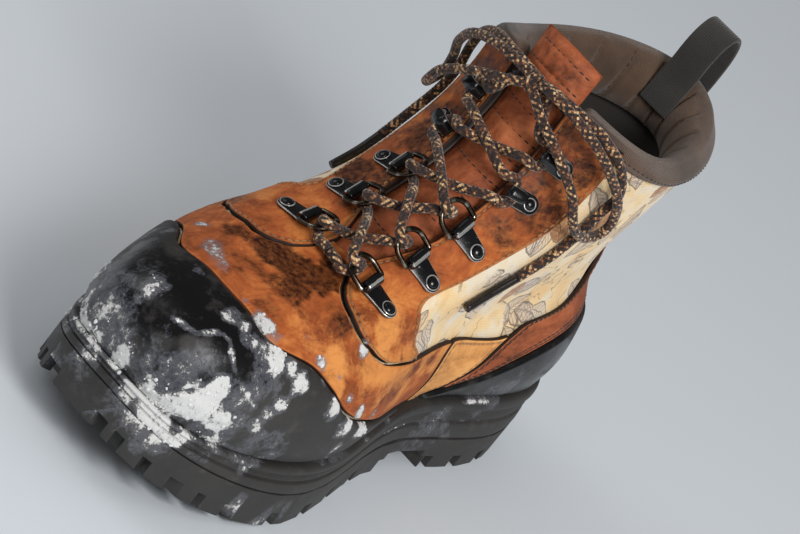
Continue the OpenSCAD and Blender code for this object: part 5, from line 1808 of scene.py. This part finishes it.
# Geometry tree: the kind of each named input, and the name of what it makes
def newTree(name, made, **inputs):
    tree = bpy.data.node_groups.new(name, "GeometryNodeTree")
    for label, kind in inputs.items():
        tree.interface.new_socket(label, in_out="INPUT", socket_type="NodeSocket" + kind)
    tree.interface.new_socket(made, in_out="OUTPUT", socket_type="NodeSocketGeometry")
    return tree, addNode(tree, "NodeGroupInput").outputs


# Copies of a shape on points, each tilted at random between two limits, as one real mesh
def scattered(tree, shape, points, rotation, scale, tilt, seed):
    lot = {0: tilt[0], 1: tilt[1], "Seed": seed}
    drawn = addNode(tree, "FunctionNodeRandomValue", lot, data_type="FLOAT_VECTOR").outputs[0]
    tilted = addNode(tree, "FunctionNodeEulerToRotation", {"Euler": drawn}).outputs[0]
    turned = addNode(tree, "FunctionNodeRotateRotation", {"Rotation": rotation, "Rotate By": tilted},
                     rotation_space="LOCAL").outputs[0]
    placed = addNode(tree, "GeometryNodeInstanceOnPoints", {
        "Points": points, "Instance": shape, "Rotation": turned, "Scale": scale}).outputs["Instances"]
    return addNode(tree, "GeometryNodeRealizeInstances", {"Geometry": placed}).outputs[0]


def endTree(tree, geometry, material):
    done = addNode(tree, "GeometryNodeSetMaterial", {"Geometry": geometry, "Material": material}).outputs[0]
    addNode(tree, "NodeGroupOutput", {0: done})
    return tree


# Plain mesh that a tree makes from a mesh of points, edges or faces
def grown(name, data, tree, values):
    source = linked(name + "Source", data)
    modifier = source.modifiers.new("tree", "NODES")
    modifier.node_group = tree
    given = {item.name: item.identifier for item in tree.interface.items_tree if item.in_out == "INPUT"}
    for label, value in values.items():
        modifier[given[label]] = value
    piece = bakedCopy(source, name)
    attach(piece, "root")
    print(name, len(piece.data.polygons), "faces")
    return piece


# stitches, set along the collected lines

stitchTilt, stitchSeed = ((-0.09, -0.09, 0), (0.09, 0.09, 0)), 3
stitching = {
    "tanThread": {"pitch": 3.0, "length": 2.3, "thick": 0.75, "slot": "tan_leather"},
    "darkThread": {"pitch": 3.0, "length": 2.3, "thick": 0.7, "slot": "brown_leather"},
}


def stitchTree():
    tree, given = newTree("stitchRow", "Stitches", Lines="Geometry", Pitch="Float", Length="Float",
                          Thickness="Float", Material="Material")
    rows = addNode(tree, "GeometryNodeMeshToCurve", {"Mesh": given["Lines"]}).outputs["Curve"]
    spots = addNode(tree, "GeometryNodeResampleCurve", {"Curve": rows, "Length": given["Pitch"]},
                    mode="LENGTH").outputs["Curve"]
    ball = {"Segments": 6, "Rings": 5, "Radius": 0.5}
    bead = addNode(tree, "GeometryNodeMeshUVSphere", ball).outputs["Mesh"]
    size = addNode(tree, "ShaderNodeCombineXYZ", {
        "X": given["Thickness"], "Y": given["Thickness"], "Z": given["Length"]}).outputs[0]
    way = addNode(tree, "FunctionNodeAlignRotationToVector", {
        "Vector": addNode(tree, "GeometryNodeInputTangent").outputs[0]}, axis="Z").outputs[0]
    real = scattered(tree, bead, spots, way, size, stitchTilt, stitchSeed)
    smooth = addNode(tree, "GeometryNodeSetShadeSmooth", {"Geometry": real}).outputs[0]
    return endTree(tree, smooth, given["Material"])


def makeStitches():
    tree = stitchTree()
    for thread, lines in stitchLines.items():
        look = stitching[thread]
        edges, start = [], 0
        for line in lines:
            edges += [(start + i, start + i + 1) for i in range(len(line) - 1)]
            start += len(line)
        points = np.concatenate([line * toMetres for line in lines])
        grown(thread + "_stitches", plainMesh(thread, points, edges, []), tree, {
            "Pitch": look["pitch"] * toMetres, "Length": look["length"] * toMetres,
            "Thickness": look["thick"] * toMetres, "Material": looks[thread]})


makeStitches()
print("stage: stitches")


# crumbs of frost, scattered where it lies thickly

crumbs = {
    "density": 500000.0,        # to the square metre
    "smallest": 0.3, "largest": 2.0, "squash": (1.0, 0.8, 0.6), "seed": 5, "slot": "black_rubber",
    "least": 0.3,               # frost below this carries none
    "share": (0.45, 1.1),       # frost with the first crumbs, and with all of them
    "tilt": ((-0.5, -0.5, 0), (0.5, 0.5, 6.28)),
    "chips": 1400.0, "chipDepth": 0.0009,       # to the metre, and in metres
}


def crumbTree():
    tree, given = newTree("frostCrumbs", "Crumbs", Surface="Geometry", Density="Float", Smallest="Float",
                          Largest="Float", Seed="Int", Material="Material")
    frost = addNode(tree, "GeometryNodeInputNamedAttribute", {"Name": "frost"}, data_type="FLOAT").outputs
    spots = addNode(tree, "GeometryNodeDistributePointsOnFaces", {
        "Mesh": given["Surface"], "Seed": given["Seed"],
        "Density": times(spread(frost["Attribute"], *crumbs["share"]), given["Density"]),
    }, distribute_method="RANDOM").outputs
    lump = addNode(tree, "GeometryNodeMeshIcoSphere", {"Radius": 0.5, "Subdivisions": 2}).outputs["Mesh"]
    lot = addNode(tree, "FunctionNodeRandomValue", {"Seed": given["Seed"]}, data_type="FLOAT").outputs[1]
    size = spread(maths("POWER", lot, 3.0), 0.0, 1.0, given["Smallest"], given["Largest"])
    scale = vectors("SCALE", {0: crumbs["squash"], "Scale": size})
    real = scattered(tree, lump, spots["Points"], spots["Rotation"], scale, crumbs["tilt"], given["Seed"])
    place = addNode(tree, "GeometryNodeInputPosition").outputs[0]
    rough = addNode(tree, "ShaderNodeTexNoise", {"Vector": place, "Scale": crumbs["chips"], "Detail": 2.0})
    centred = vectors("SUBTRACT", {0: rough.outputs["Color"], 1: (0.5, 0.5, 0.5)})
    shift = vectors("SCALE", {0: centred, "Scale": crumbs["chipDepth"]})
    chipped = addNode(tree, "GeometryNodeSetPosition", {"Geometry": real, "Offset": shift}).outputs[0]
    return endTree(tree, chipped, given["Material"])


def makeCrumbs():
    points, faces, frost = [], [], []
    start = 0
    for grid, mask in frosted:
        corners = np.array(gridFaces(*mask.shape))
        thick = mask.ravel()[corners].max(1) > crumbs["least"]
        faces += (corners[thick] + start).tolist()
        points.append(grid.reshape(-1, 3))
        frost.append(mask.ravel())
        start += mask.size
    data = plainMesh("frostedSurface", np.concatenate(points) * toMetres, [], faces)
    layer = data.attributes.new("frost", "FLOAT", "POINT").data
    layer.foreach_set("value", np.concatenate(frost).astype(np.float32))
    piece = grown("frost_crumbs", data, crumbTree(), {
        "Density": crumbs["density"], "Smallest": crumbs["smallest"] * toMetres,
        "Largest": crumbs["largest"] * toMetres, "Seed": crumbs["seed"], "Material": looks["snow"]})
    piece.data.shade_flat()


makeCrumbs()
print("stage: frost")
